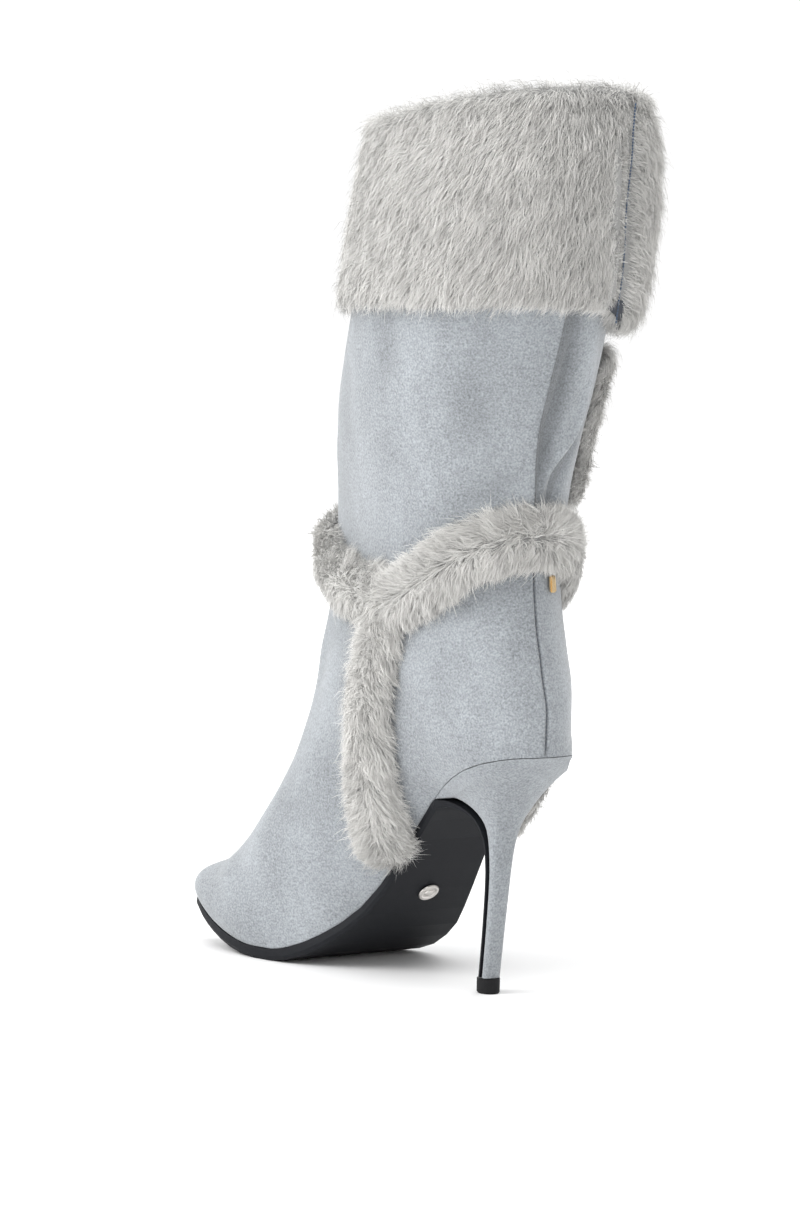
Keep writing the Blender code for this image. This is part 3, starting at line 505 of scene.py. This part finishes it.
def buildUpper():
    # outer skin plus folds and seam along its normal, inner skin one wall further in, joined at the
    # collar and along the sole's edge
    rows = upperRows(upperMesh["rows"])
    ring = lambda t: (t - upperMesh["seamTurn"] + 0.5) % 1 - 0.5
    bell = lambda t, place, width: np.exp(-0.5 * ((ring(t) - place) / width) ** 2)
    crowded = lambda t: 1 + 11 * bell(t, 0, 0.011) + 2.5 * bell(t, -0.03, 0.035)
    turns = spread(upperMesh["columns"], crowded)
    r, t = np.meshgrid(rows, turns, indexing="ij")
    outer = upperSurface(r, t)
    normal = upperNormal(r, t)
    forward = outer[:, [0, -1], 0]
    slope = (soleAt(forward + 0.05)[0] - soleAt(forward - 0.05)[0]) / 0.1
    floorUp = unit(np.stack([-slope, np.zeros_like(slope), np.ones_like(slope)], -1))
    edge = normal[:, [0, -1]]
    edge = unit(edge - (edge * floorUp).sum(-1, keepdims=True) * floorUp)
    onSole = rows >= seatRow - 1e-9
    normal[onSole, 0] = edge[onSole, 0]
    normal[onSole, -1] = edge[onSole, 1]
    closed = rows <= seatRow + 1e-9
    middle = unit((normal[closed, 0] + normal[closed, -1]) / 2)
    normal[closed, 0] = normal[closed, -1] = middle
    inner = outer - wall * normal
    last = int(np.flatnonzero(rows <= lastRow - toeEnd + 1e-9)[-1])
    middle = (inner[last, 0] + inner[last, -1]) / 2
    share = (lastRow - rows[last:, None, None]) / toeEnd
    inner[last:] = middle + share * (inner[last] - middle)
    flat = outer.reshape(-1, 3)
    soft = foldHeight(flat)
    besideSeam = abs(ring(t)).reshape(-1) < upperMesh["seamZone"]
    band = np.flatnonzero(besideSeam & (r.reshape(-1) < upperMesh["seamLastRow"]))
    near = np.array([((seamLine - p) ** 2).sum(1).argmin() for p in flat[band]])
    away = flat[band] - seamLine[near]
    distance = np.linalg.norm(away, axis=1)
    # positive towards the outer side
    signed = distance * np.where(away[:, 1] < 0, 1, -1)
    upperPart = np.clip((seam["stepEnd"] - seamRows[near]) / seam["stepFade"], 0, 1)
    groove = np.zeros(len(flat))
    groove[band] = np.exp(-((distance / seam["halfWidth"]) ** 2))
    rim = np.zeros(len(flat))
    shoulder = np.exp(-(((distance - seam["shoulderAt"]) / seam["shoulderWidth"]) ** 2))
    rim[band] = seam["shoulder"] * shoulder * (1 - upperPart)
    # the overlapping edge: a slow rise on its own side, a sharp fall beyond it
    edgeWidth = np.where(signed < 0, seam["slowSide"], seam["sharpSide"])
    rim[band] += upperPart * seam["step"] * np.exp(-((signed / edgeWidth) ** 2))
    depth = np.zeros(len(flat))
    depth[band] = seam["depth"] * (1 - 0.7 * upperPart)
    lift = soft + (rim - depth * groove)
    # painted shade beside the overlapping edge, on the side beyond it
    shadeStep = np.zeros(len(flat))
    shadeStep[band] = upperPart * np.where(signed > 0, np.exp(-((signed / seam["shadeWidth"]) ** 2)), 0)
    # the edge on the sole and the collar stay put
    hold = np.clip(np.minimum(t, 1 - t) / upperMesh["edgeHold"], 0, 1)
    hold = np.where(r > seatRow, hold * hold * (3 - 2 * hold), 1.0)
    lift = lift.reshape(r.shape) * hold * np.clip((lastRow - r) / upperMesh["toeFade"], 0, 1)
    moved = outer + lift[..., None] * normal
    count = r.size
    columns = len(turns)
    faces = [gridFaces(len(rows), columns), gridFaces(len(rows), columns, count)[:, ::-1]]
    c = np.arange(columns - 1)
    faces.append(np.stack([c, c + count, c + 1 + count, c + 1], -1))
    first = int(np.flatnonzero(onSole)[0])
    k = np.arange(first, len(rows) - 1) * columns
    for column in (0, columns - 1):
        a = k + column
        faces.append(np.stack([a, a + columns, a + columns + count, a + count], -1))
    points = np.concatenate([moved.reshape(-1, 3), inner.reshape(-1, 3)])
    upper = newMesh("suede_upper", points, np.concatenate(faces), suedeMaterial)
    tree = KDTree(len(points))
    # painted shade: darker in the seam's groove, beyond the seam's overlapping edge and in the folds'
    # troughs, lighter on the folds' ridges, and darker over the inner skin
    shade = np.ones(len(points))
    hollowShading = upperMesh["hollowShade"] * np.clip(-soft, 0, 2)
    foldShading = hollowShading - upperMesh["ridgePaintedLight"] * np.clip(soft, 0, 2)
    shade[:count] = 1 - seam["grooveShade"] * groove - seam["stepShade"] * shadeStep - foldShading
    shade[count:] = upperMesh["insideShade"]
    for index, place in enumerate(points):
        tree.insert(place, index)
    tree.balance()
    mesh = upper.data
    co = np.empty(len(mesh.vertices) * 3, np.float32)
    mesh.vertices.foreach_get("co", co)
    foot = toFoot(co.reshape(-1, 3))
    values = np.array([shade[tree.find(p)[1]] for p in foot], np.float32)
    mesh.attributes.new("shade", "FLOAT", "POINT").data.foreach_set("value", values)
    return upper


upper = buildUpper()
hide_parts("upper")
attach(upper, "root")
print("upper", len(upper.data.polygons))

# stitches along the back seam
def stitchLine(name, line, normal, pitch, length, radius, sink, material):
    # stitches laid one behind the other along a line, each a few rings across its chord, thin at both ends
    sides = 6
    gone = np.concatenate([[0], np.cumsum(np.linalg.norm(np.diff(line, axis=0), axis=1))])
    starts = np.arange(0, gone[-1] - length, pitch)
    lobes = ((0, 0.0), (0.12, 0.75), (0.5, 1.0), (0.88, 0.75), (1, 0.0))
    at = starts[:, None] + length * np.array([s for s, _ in lobes])
    pick = lambda values: np.stack([np.interp(at, gone, values[:, k]) for k in range(3)], -1)
    up = unit(pick(normal))
    centre = pick(line) - sink * up
    go = unit(centre[:, -1:] - centre[:, :1])
    across = unit(np.cross(up, np.broadcast_to(go, up.shape)))
    angles = np.arange(sides) * np.pi / 3
    wide = radius * np.array([w for _, w in lobes])[None, :, None, None]
    ring = centre[:, :, None] + wide * (
        np.cos(angles)[:, None] * up[:, :, None] + np.sin(angles)[:, None] * across[:, :, None])
    faces = []
    for r in range(len(lobes) - 1):
        for c in range(sides):
            n = (c + 1) % sides
            faces.append([r * sides + c, r * sides + n, (r + 1) * sides + n, (r + 1) * sides + c])
    firsts = np.arange(len(starts))[:, None, None] * (len(lobes) * sides)
    faces = (firsts + np.array(faces)).reshape(-1, 4)
    return newMesh(name, ring.reshape(-1, 3), faces, material)


seamNormal = upperNormal(seamRows, curve(seamTurns[:, 0], seamTurns[:, 1], seamRows))
stitchedFrom = 5.6
lowerSeam = seamRows > stitchedFrom
backStitches = stitchLine(
    "back_seam_stitches", seamLine[lowerSeam], seamNormal[lowerSeam],
    pitch=2.2, length=1.5, radius=0.22, sink=0.3, material=threadMaterial)
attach(backStitches, "root")
print("stitches", len(backStitches.data.polygons))

# CAD pieces that stay get their finishes
finishes = {
    "heel": heelMaterial, "outsole": soleMaterial, "top_lift": liftMaterial, "insole": insoleMaterial,
    "sole_rivet": steelMaterial, "strap_fitting": goldMaterial,
}
for name, finish in finishes.items():
    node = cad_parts[name]
    for index in range(len(node.data.materials)):
        node.data.materials[index] = finish

# fur grounds: the pile's woven backing, on which the strands stand; its grey, darker than the fur, is
# painted shade deep in the pile
skinGrid = (331, 181)
skinRows = np.linspace(collarRow, lastRow - 1, skinGrid[0])[:, None]
skinPlaces = upperSurface(skinRows, np.linspace(0, 1, skinGrid[1])).reshape(-1, 3)
skinTree = BVHTree.FromPolygons(skinPlaces.tolist(), gridFaces(*skinGrid).tolist())

# distance off the skin and height, round the cuff's section from its lower edge outwards
cuffOutline = (
    (0.4, 281.5), (4.5, 278.5), (9.5, 280), (12, 288), (12.5, 305), (12, 325), (10, 343), (6.5, 356.5),
    (1.5, 363), (-2.5, 363.5), (-6, 359), (-7, 350), (-6.5, 336), (-4.5, 330), (-2.5, 332), (-2.5, 352.5),
    (0.5, 352.5), (0.5, 336), (0.5, 320), (0.5, 300),
)
# turn, share of the outline's distance, how far the lower edge hangs
cuffSwell = (
    (0, 1, 0), (0.1, 0.82, 0), (0.25, 0.48, 0), (0.45, 0.44, 0), (0.6, 0.74, 0), (0.72, 1.05, 6),
    (0.82, 1.25, 9), (0.9, 1.3, 9), (0.95, 1.1, 2), (1, 1, 0),
)
# sink is the strands' depth; the groove follows the cuff's own seam, and fades where the cuff is thin
cuff = {
    "sink": 3.6, "turns": 181, "seamTurn": (0.937, 0.961), "seamHeight": (273.6, 347.6),
    "groove": 3.2, "grooveWidth": 2.4, "round": 290, "crowdTurn": 0.95, "crowdWidth": 0.018,
    "frontDrop": 4.5, "frontTurn": 0.33, "frontWidth": 0.14,
    "step": 3.0, "hangOver": 35, "collarTop": 352.5, "dropOver": 8, "thin": 6,
}


def cuffSeamTurn(height):
    # the seam leans a little on its way up
    return np.interp(height, cuff["seamHeight"], cuff["seamTurn"])


def buildCuffGround():
    # the outline pulled in by the strands' depth on its outer side, with a groove along the cuff's own seam
    crowded = lambda t: 1 + 5 * np.exp(-0.5 * ((t - cuff["crowdTurn"]) / cuff["crowdWidth"]) ** 2)
    turns = spread(cuff["turns"], crowded)[:-1]
    swell = np.array(cuffSwell, float)
    share, hang = curve(swell[:, 0], swell[:, 1:], turns).T
    drop = cuff["frontDrop"] * np.exp(-(((turns - cuff["frontTurn"]) / cuff["frontWidth"]) ** 2))
    outline = np.array(cuffOutline, float)
    outline = np.concatenate([outline, outline[:1]])
    fine = []
    for a, b in zip(outline, outline[1:]):
        steps = max(1, int(np.linalg.norm(b - a) / cuff["step"]))
        fine += [a + (b - a) * k / steps for k in range(steps)]
    fine = np.array(fine)
    go = np.roll(fine, -1, 0) - np.roll(fine, 1, 0)
    outward = unit(np.stack([go[:, 1], -go[:, 0]], -1))
    away = np.abs(fine[:, 0] - np.where(fine[:, 0] < -1, -2.5, 0.4))
    sunk = np.clip(away - 0.4, 0, cuff["sink"])[:, None] * np.where(fine[:, :1] > -2.4, 1, 0.7)
    fine = fine - outward * sunk
    loops = []
    for out, height in fine:
        low = np.clip((collarHeight - 20 - height) / cuff["hangOver"], 0, 1)
        top = np.clip((height - cuff["collarTop"]) / cuff["dropOver"], 0, 1)
        row = rowHeight(height - low * hang - top * drop)
        near = (turns - cuffSeamTurn(height)) * cuff["round"] / cuff["grooveWidth"]
        reach = out * share - cuff["groove"] * np.exp(-near * near) * np.clip(out / cuff["thin"], 0, 1)
        # inside the collar and close to the skin the outline holds as it is
        reach = reach if out > wall else np.full(len(turns), out)
        loops.append(upperSurface(row, turns) + reach[:, None] * upperNormal(row, turns))
    points = np.stack(loops)
    rows, columns = points.shape[:2]
    r, c = np.meshgrid(np.arange(rows), np.arange(columns), indexing="ij")
    nextRow, nextColumn = (r + 1) % rows, (c + 1) % columns
    faces = np.stack([
        r * columns + c, r * columns + nextColumn,
        nextRow * columns + nextColumn, nextRow * columns + c,
    ], -1)
    return newMesh("fur_cuff_ground", points.reshape(-1, 3), faces.reshape(-1, 4), groundShadeMaterial)


def onSkin(points):
    # nearest places on the upper's skin, and the normals there
    found = [skinTree.find_nearest(point) for point in points]
    return np.array([f[0] for f in found]), np.array([f[1] for f in found])


def pathOnSkin(path, side=0):
    # a smooth path from (row, turn) places, or from (forward, height) places seen from one side
    path = np.array(path, float)
    places = curve(np.arange(len(path)), path, np.linspace(0, len(path) - 1, 121))
    if side == 0:
        return upperSurface(places[:, 0], places[:, 1])
    return np.array([skinTree.ray_cast((f, 90.0 * side, h), (0.0, -side, 0.0))[0] for f, h in places])


def pileGround(name, line, width, depth, count, lift=0.5, across=9):
    # flat under-side just off the skin, top rounded as half an ellipse, closed ends that narrow;
    # the sections stand a little closer near both ends
    gone = np.concatenate([[0], np.cumsum(np.linalg.norm(np.diff(line, axis=0), axis=1))])
    share = 0.35 * (1 - np.cos(np.linspace(0, np.pi, count))) / 2 + 0.65 * np.linspace(0, 1, count)
    line = np.stack([np.interp(share * gone[-1], gone, line[:, k]) for k in range(3)], -1)
    side = unit(np.cross(onSkin(line)[1], np.gradient(line, axis=0)))
    fromEnd = np.minimum(share, 1 - share) * gone[-1]
    end = np.sqrt(np.clip(1 - np.clip(1 - fromEnd / (0.35 * width), 0, 0.93) ** 2, 0, 1))
    reach = np.sin(np.linspace(-1, 1, across) * np.pi / 2)
    top = 1.0 + (depth - 1.0) * np.sqrt(np.clip(1 - reach**2, 0, 1))
    under = []
    over = []
    for q, high in zip(reach, top):
        skin, normal = onSkin(line + 0.5 * width * q * end[:, None] * side)
        under.append(skin + lift * normal)
        over.append(skin + (lift + high * end[:, None]) * normal)
    ring = np.stack(under + over[::-1], 1)
    rows, columns = ring.shape[:2]
    r, c = np.meshgrid(np.arange(rows - 1), np.arange(columns), indexing="ij")
    n = (c + 1) % columns
    corners = [r * columns + c, r * columns + n, (r + 1) * columns + n, (r + 1) * columns + c]
    faces = np.stack(corners, -1).reshape(-1, 4)
    ends = []
    for first, flip in ((0, 1), ((rows - 1) * columns, -1)):
        for k in range(across - 1):
            beyond = first + columns - k
            ends.append([first + k, first + k + 1, beyond - 2, beyond - 1][::flip])
    return newMesh(name, ring.reshape(-1, 3), np.concatenate([faces, np.array(ends)]), groundShadeMaterial), line


def rootsOn(thing, count, seed, clear):
    # random places on the ground, leaving out its underside near the skin
    mesh = thing.data
    mesh.calc_loop_triangles()
    tris = np.empty(len(mesh.loop_triangles) * 3, np.int32)
    mesh.loop_triangles.foreach_get("vertices", tris)
    tris = tris.reshape(-1, 3)
    co = np.empty(len(mesh.vertices) * 3, np.float32)
    mesh.vertices.foreach_get("co", co)
    co = toFoot(co.reshape(-1, 3))
    corners = co[tris]
    flat = np.cross(corners[:, 1] - corners[:, 0], corners[:, 2] - corners[:, 0])
    area = np.linalg.norm(flat, axis=1) / 2
    soft = np.zeros_like(co)
    for corner in range(3):
        np.add.at(soft, tris[:, corner], flat)
    soft = unit(soft)
    middle = corners.mean(1)
    gap = np.array([skinTree.find_nearest(p)[3] for p in middle])
    area[gap < clear] = 0
    rng = np.random.default_rng(seed)
    pick = rng.choice(len(tris), count, p=area / area.sum())
    a, b = rng.random((2, count))
    over = a + b > 1
    a[over], b[over] = 1 - a[over], 1 - b[over]
    share = np.stack([1 - a - b, a, b], -1)[..., None]
    return (corners[pick] * share).sum(1), unit((soft[tris[pick]] * share).sum(1))


def strandMesh(name, roots, normals, lie, scale, look, seed):
    # flat tapered blades of two segments that start steep and bend over along the lie
    rng = np.random.default_rng(seed)
    count = len(roots)
    drift = softNoise(roots, look["swirl"], seed, 3) * 0.5 + softNoise(roots, 28.0, seed + 1, 3) * 0.3
    lie = unit(lie + look["wild"] * drift + rng.normal(size=(count, 3)) * look["stray"])
    lie = unit(lie - (lie * normals).sum(1, keepdims=True) * normals)
    reach = look["length"] * scale * rng.uniform(0.6, 1.15, count)
    reach = reach * (1 + 0.16 * softNoise(roots, 7.0, seed + 2)[:, 0])
    first, final = look["rise"]
    stray = rng.random(count) < look["strayShare"]
    reach *= np.where(stray, look["strayLength"], 1.0)
    bend = first + (final - first) * np.array([0.0, 1.0])[None, :]
    tilt = np.radians(15.0 * stray[:, None] + bend + rng.normal(size=(count, 1)) * 10)
    steps = reach[:, None] * np.array([0.5, 0.5])
    spine = [roots - 0.4 * normals]
    for k in range(2):
        move = np.cos(tilt[:, k, None]) * lie + np.sin(tilt[:, k, None]) * normals
        spine.append(spine[-1] + steps[:, k, None] * move)
    # strands whose roots share a cell lean together
    cell = np.floor((roots + 1.8 * softNoise(roots, 5.0, seed + 3, 3)) / look["clump"]).astype(np.int64)
    _, group = np.unique(cell, axis=0, return_inverse=True)
    group = group.reshape(-1)
    size = np.bincount(group)
    gather = look["gather"] * rng.uniform(0.2, 1.0, count)
    for k, pull in ((1, 0.35), (2, 1.0)):
        middle = np.stack([np.bincount(group, spine[k][:, axis]) / size for axis in range(3)], -1)[group]
        spine[k] = spine[k] + (middle - spine[k]) * (gather * pull)[:, None]
    side = unit(np.cross(lie, normals))
    roll = rng.normal(size=(count, 1)) * 0.45
    side = unit(np.cos(roll) * side + np.sin(roll) * normals)
    wide = look["width"] * rng.uniform(0.7, 1.3, (count, 1))
    points = []
    for k, part in ((0, 1.0), (1, 0.8)):
        points += [spine[k] - 0.5 * part * wide * side, spine[k] + 0.5 * part * wide * side]
    points.append(spine[2])
    points = toWorld(np.stack(points, 1).reshape(-1, 3))
    # five points to a blade: a quad and a triangle at its tip
    start = np.arange(count)[:, None] * 5
    loops = (start + np.array([0, 1, 3, 2, 2, 3, 4])).reshape(-1)
    faceStart = (np.arange(count)[:, None] * 7 + np.array([0, 4])).reshape(-1)
    mesh = bpy.data.meshes.new(name)
    mesh.vertices.add(len(points))
    mesh.vertices.foreach_set("co", points.astype(np.float32).reshape(-1))
    mesh.loops.add(len(loops))
    mesh.loops.foreach_set("vertex_index", loops.astype(np.int32))
    mesh.polygons.add(len(faceStart))
    mesh.polygons.foreach_set("loop_start", faceStart.astype(np.int32))
    mesh.update(calc_edges=True)
    mesh.shade_smooth()
    patch = 0.09 * softNoise(roots, 12.0, seed + 4)[:, 0] + 0.07 * rng.normal(size=count)
    # painted shade: strands that face forward are darker
    patch -= look["frontTone"] * np.clip(normals[:, 0], 0, 1)
    mesh.attributes.new("tone", "FLOAT", "POINT").data.foreach_set(
        "value", np.repeat(np.clip(look["tone"] + patch, 0.55, 1.4), 5).astype(np.float32))
    mesh.attributes.new("along", "FLOAT", "POINT").data.foreach_set(
        "value", np.tile(np.array([0.0, 0.0, 0.6, 0.6, 1.0]), count).astype(np.float32))
    mesh.materials.append(strandMaterial)
    thing = bpy.data.objects.new(name, mesh)
    bpy.context.collection.objects.link(thing)
    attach(thing, "root")
    print(name, count)
    return thing


many = 1.0


def coverWithFur(name, roots, normals, lie, scale, look, seed):
    # the strands in equal meshes, so that none is too heavy
    for number, part in enumerate(np.array_split(np.arange(len(roots)), look["pieces"])):
        chosen = [a[part] for a in (roots, normals, lie, scale)]
        strandMesh(f"{name}_{number + 1}", *chosen, look, seed + 10 * number)


# lengths in millimetres; rise is a strand's slope in degrees, low down and near its tip
cuffLook = {
    "length": 8.2, "width": 0.23, "rise": (44, 4), "wild": 0.7, "stray": 0.2, "swirl": 11.0, "clump": 2.3,
    # the front value darkens strands facing forward, as painted shade
    "gather": 0.45, "tone": 1.0, "frontTone": 0.2, "strayShare": 0.07, "strayLength": 1.45,
    "pieces": 3, "count": 150000,
}
cuffGround = buildCuffGround()
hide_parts("fur_cuff")
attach(cuffGround, "root")


def cuffLine(turnShift, low, high, out):
    # a slightly wavering line beside the cuff's seam, at a distance off the skin, and its normals
    heights = np.linspace(low, high, 160)
    rows = rowHeight(heights)
    turns = cuffSeamTurn(heights) + turnShift + 0.0018 * np.sin(heights / 7.0)
    return upperSurface(rows, turns) + out * upperNormal(rows, turns), upperNormal(rows, turns)


def nearLine(points, line):
    # how far and which way each point is from the nearest place on the line
    index = np.array([((line - p) ** 2).sum(1).argmin() for p in points])
    away = points - line[index]
    return np.linalg.norm(away, axis=1), away


roots, normals = rootsOn(cuffGround, int(cuffLook["count"] * many), 5, 1.1)
# down and towards the front of the inner side
lie = np.tile(np.array([0.24, 0.30, -1.0]), (len(roots), 1))
scale = np.ones(len(roots))
keep = np.ones(len(roots), bool)
# where the pile parts: shift in turn, from and to height, off the skin, bare half width, reach
partings = ((0.0, 270, 361, 7.4, 1.9, 6.0), (0.0175, 276, 342, 8.4, 0.9, 3.0))
for shift, low, high, out, clear, part in partings:
    line, _ = cuffLine(shift, low, high, out)
    distance, away = nearLine(roots, line)
    weight = np.exp(-((distance / part) ** 2))
    lie = lie * (1 - 0.8 * weight)[:, None] + 1.5 * weight[:, None] * unit(away)
    scale *= 1 - 0.55 * np.exp(-((distance / (0.8 * part)) ** 2))
    keep &= distance > clear
# the fold's top stands up
scale *= 1 + 0.15 * np.clip(normals[:, 2], 0, 1)
# a patch of the cuff's lining shows below its seam, where the pile is bare
flap = {
    "grid": (13, 9), "turns": (0.914, 0.949), "span": 0.035, "top": 283, "drop": 12.5, "slant": 8.5,
    "off": 8.6, "bow": 2.2, "middle": 0.931, "half": 0.017, "waver": 0.4, "thick": 0.8, "bare": 3.4,
}
flapLine, _ = cuffLine(0.008, 268, 279, 9.0)
flapDistance, _ = nearLine(roots, flapLine)
keep &= flapDistance > flap["bare"]
coverWithFur("cuff_fur", roots[keep], normals[keep], lie[keep], scale[keep], cuffLook, 5)
line, up = cuffLine(0.0, 274, 360, 8.2)
cuffStitches = stitchLine(
    "cuff_seam_stitches", line, up,
    pitch=1.25, length=1.15, radius=0.42, sink=0.0, material=cuffThreadMaterial)
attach(cuffStitches, "root")

across = np.linspace(*flap["turns"], flap["grid"][0])
flapTurns, flapDown = np.meshgrid(across, np.linspace(0, 1, flap["grid"][1]), indexing="ij")
flapDrop = flap["drop"] - flap["slant"] * (flapTurns - flap["turns"][0]) / flap["span"]
flapHeights = flap["top"] - flapDown * flapDrop
flapRows = rowHeight(flapHeights)
flapBow = flap["bow"] * ((flapTurns - flap["middle"]) / flap["half"]) ** 2
flapOut = flap["off"] - flapBow + flap["waver"] * np.sin(flapHeights / 2.2)
flapSkin = upperSurface(flapRows, flapTurns)
flapNormal = upperNormal(flapRows, flapTurns)
flapSides = [flapSkin + (flapOut - k)[..., None] * flapNormal for k in (0.0, flap["thick"])]
flapPoints = np.concatenate([side.reshape(-1, 3) for side in flapSides])
flapBack = gridFaces(*flap["grid"], start=flapTurns.size)[:, ::-1]
flapFaces = np.concatenate([gridFaces(*flap["grid"]), flapBack])
liningFlap = newMesh("cuff_lining_flap", flapPoints, flapFaces, liningMaterial)
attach(liningFlap, "root")

bandLook = {
    "length": 8.6, "width": 0.23, "rise": (52, 6), "wild": 0.8, "stray": 0.28, "swirl": 8.0, "clump": 2.0,
    "gather": 0.5, "tone": 1.0, "frontTone": 0.0, "strayShare": 0.07, "strayLength": 1.45, "pieces": 1,
}
backPath = (
    (8.75, 0.262), (7.85, 0.216), (7.2, 0.182), (6.55, 0.145), (5.95, 0.103), (5.65, 0.065), (5.5, 0.015),
)
frontPath = (
    (8.3, 0.236), (8.85, 0.278), (9.35, 0.313), (9.8, 0.362), (10.05, 0.41), (10.15, 0.455), (10.15, 0.5),
)
# places below are (forward, height) from the side; those above are (row, turn)
innerPath = ((70.5, 156), (72.5, 140), (76, 128), (79.5, 109), (83, 84), (84.5, 63), (85.5, 50))
outerPath = ((70.5, 156), (72.5, 140), (70, 127), (66, 111), (62, 98), (61.5, 88), (66.5, 76.5), (76, 64))
# (row, turn) again
shaftPath = ((2.42, 0.828), (3.3, 0.828), (4.2, 0.83), (5.35, 0.84))
backAll = backPath + tuple((row, -turn) for row, turn in reversed(backPath))
frontAll = frontPath + tuple((row, 1 - turn) for row, turn in reversed(frontPath[:-1]))
# name, CAD node, path, side, width, depth of the ground, sections, strands
piles = (
    ("back_band", "band_back", backAll, 0, 20, 5.6, 48, 27000),
    ("front_band", "band_front", frontAll, 0, 21, 6.0, 46, 26000),
    ("medial_strip", "medial_strip", innerPath, 1, 22, 6.0, 30, 19000),
    ("lateral_strip", "lateral_strip", outerPath, -1, 24, 9.5, 28, 17000),
    ("shaft_strip", "shaft_strip", shaftPath, 0, 14, 4.2, 20, 11000),
)
for number, (name, node, path, side, width, depth, sections, strandCount) in enumerate(piles):
    ground, line = pileGround(name + "_ground", pathOnSkin(path, side), width, depth, sections)
    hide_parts(node)
    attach(ground, "root")
    roots, normals = rootsOn(ground, int(strandCount * many), 30 + number, 0.9)
    nearest = np.array([((line - p) ** 2).sum(1).argmin() for p in roots])
    along = unit(np.gradient(line, axis=0))[nearest]
    along = along * np.where(along[:, 2:] > 0, -1, 1)
    outside = roots - line[nearest]
    outside = unit(outside - (outside * normals).sum(1, keepdims=True) * normals)
    lie = 0.75 * outside + 0.45 * along + np.array([0.1, 0.1, -0.35])
    coverWithFur(name + "_fur", roots, normals, lie, np.ones(len(roots)), bandLook, 31 + 10 * number)
print("fur made")

# floor, light and camera
stage = {"size": 8.0, "floor": (0.93, 0.93, 0.93)}
floorMesh = bpy.data.meshes.new("studio_floor")
half = stage["size"] / 2
corners = [(-half, -half, 0), (half, -half, 0), (half, half, 0), (-half, half, 0)]
floorMesh.from_pydata(corners, [], [(0, 1, 2, 3)])
floorMaterial, floorShader = newMaterial("studio_floor_white", stage["floor"], 0.9, specular=0.1)
# the far floor glows so that it runs into the backdrop
floorTree = floorMaterial.node_tree
far = floorTree.nodes.new("ShaderNodeVectorMath")
far.operation = "LENGTH"
link(floorTree, floorTree.nodes.new("ShaderNodeTexCoord").outputs["Object"], far.inputs[0])
fade = floorTree.nodes.new("ShaderNodeMapRange")
fade.inputs["From Min"].default_value = 0.5
fade.inputs["From Max"].default_value = 2.2
fade.inputs["To Max"].default_value = 0.6
link(floorTree, far.outputs["Value"], fade.inputs["Value"])
link(floorTree, fade.outputs["Result"], floorShader.inputs["Emission Strength"])
floorShader.inputs["Emission Color"].default_value = (1, 1, 1, 1)
floorMesh.materials.append(floorMaterial)
floor = bpy.data.objects.new("studio_floor", floorMesh)
bpy.context.collection.objects.link(floor)

world = bpy.data.worlds.new("studio")
world.use_nodes = True
# the backdrop is plain white to the camera and dimmer as light
worldTree = world.node_tree
backdrop = worldTree.nodes["Background"]
rays = worldTree.nodes.new("ShaderNodeLightPath")
level = worldTree.nodes.new("ShaderNodeMapRange")
level.inputs["To Min"].default_value = 0.55
level.inputs["To Max"].default_value = 1.05
link(worldTree, rays.outputs["Is Camera Ray"], level.inputs["Value"])
link(worldTree, level.outputs["Result"], backdrop.inputs["Strength"])
backdrop.inputs["Color"].default_value = (1.0, 1.0, 1.0, 1)
bpy.context.scene.world = world


def areaLight(name, place, target, size, power):
    # a rectangular lamp turned to its target, in metres and watts
    data = bpy.data.lights.new(name, "AREA")
    data.shape = "RECTANGLE"
    data.size, data.size_y = size
    data.energy = power
    lamp = bpy.data.objects.new(name, data)
    go = unit(np.array(target, float) - np.array(place, float))
    right = unit(np.cross(go, (0, 0, 1.0)))
    up = np.cross(right, go)
    basis = Matrix(np.column_stack([right, up, -go]).tolist()).to_4x4()
    basis.translation = place
    lamp.matrix_world = basis
    bpy.context.collection.objects.link(lamp)
    return lamp


target = (0, -0.05, 0.15)
areaLight("key", (1.9, -0.5, 1.3), target, (1.6, 1.6), 38)
areaLight("top", (0.1, 0.2, 2.4), target, (2.6, 2.6), 42)
areaLight("front", (0.8, 1.9, 0.9), target, (1.4, 1.2), 5)
areaLight("rim", (-1.7, -1.2, 0.9), target, (1.6, 1.6), 22)

# degrees and metres for the camera's place; radians for the way it looks
view = {
    "azimuth": 35.0, "elevation": 10.0, "distance": 1.8,
    "yaw": 0.58864, "pitch": 0.08755, "roll": 0.02169, "lens": 131.85,
}
theta, rise = np.radians(view["azimuth"]), np.radians(view["elevation"])
fromTarget = [np.sin(theta) * np.cos(rise), np.cos(theta) * np.cos(rise), np.sin(rise)]
eye = view["distance"] * np.array(fromTarget)
go = -np.array([np.sin(view["yaw"]) * np.cos(view["pitch"]), np.cos(view["yaw"]) * np.cos(view["pitch"]),
                np.sin(view["pitch"])])
right = unit(np.cross(go, (0, 0, 1.0)))
up = np.cross(right, go)
cosRoll, sinRoll = np.cos(view["roll"]), np.sin(view["roll"])
rightRolled = cosRoll * right + sinRoll * up
upRolled = -sinRoll * right + cosRoll * up
cameraData = bpy.data.cameras.new("camera")
cameraData.sensor_width = 36
cameraData.lens = view["lens"]
cameraData.clip_start = 0.05
cameraData.clip_end = 50
camera = bpy.data.objects.new("camera", cameraData)
basis = Matrix(np.column_stack([rightRolled, upRolled, -go]).tolist()).to_4x4()
basis.translation = eye
camera.matrix_world = basis
bpy.context.collection.objects.link(camera)
bpy.context.scene.camera = camera
bpy.context.scene.view_settings.view_transform = "Standard"
bpy.context.scene.view_settings.look = "None"

print("done")
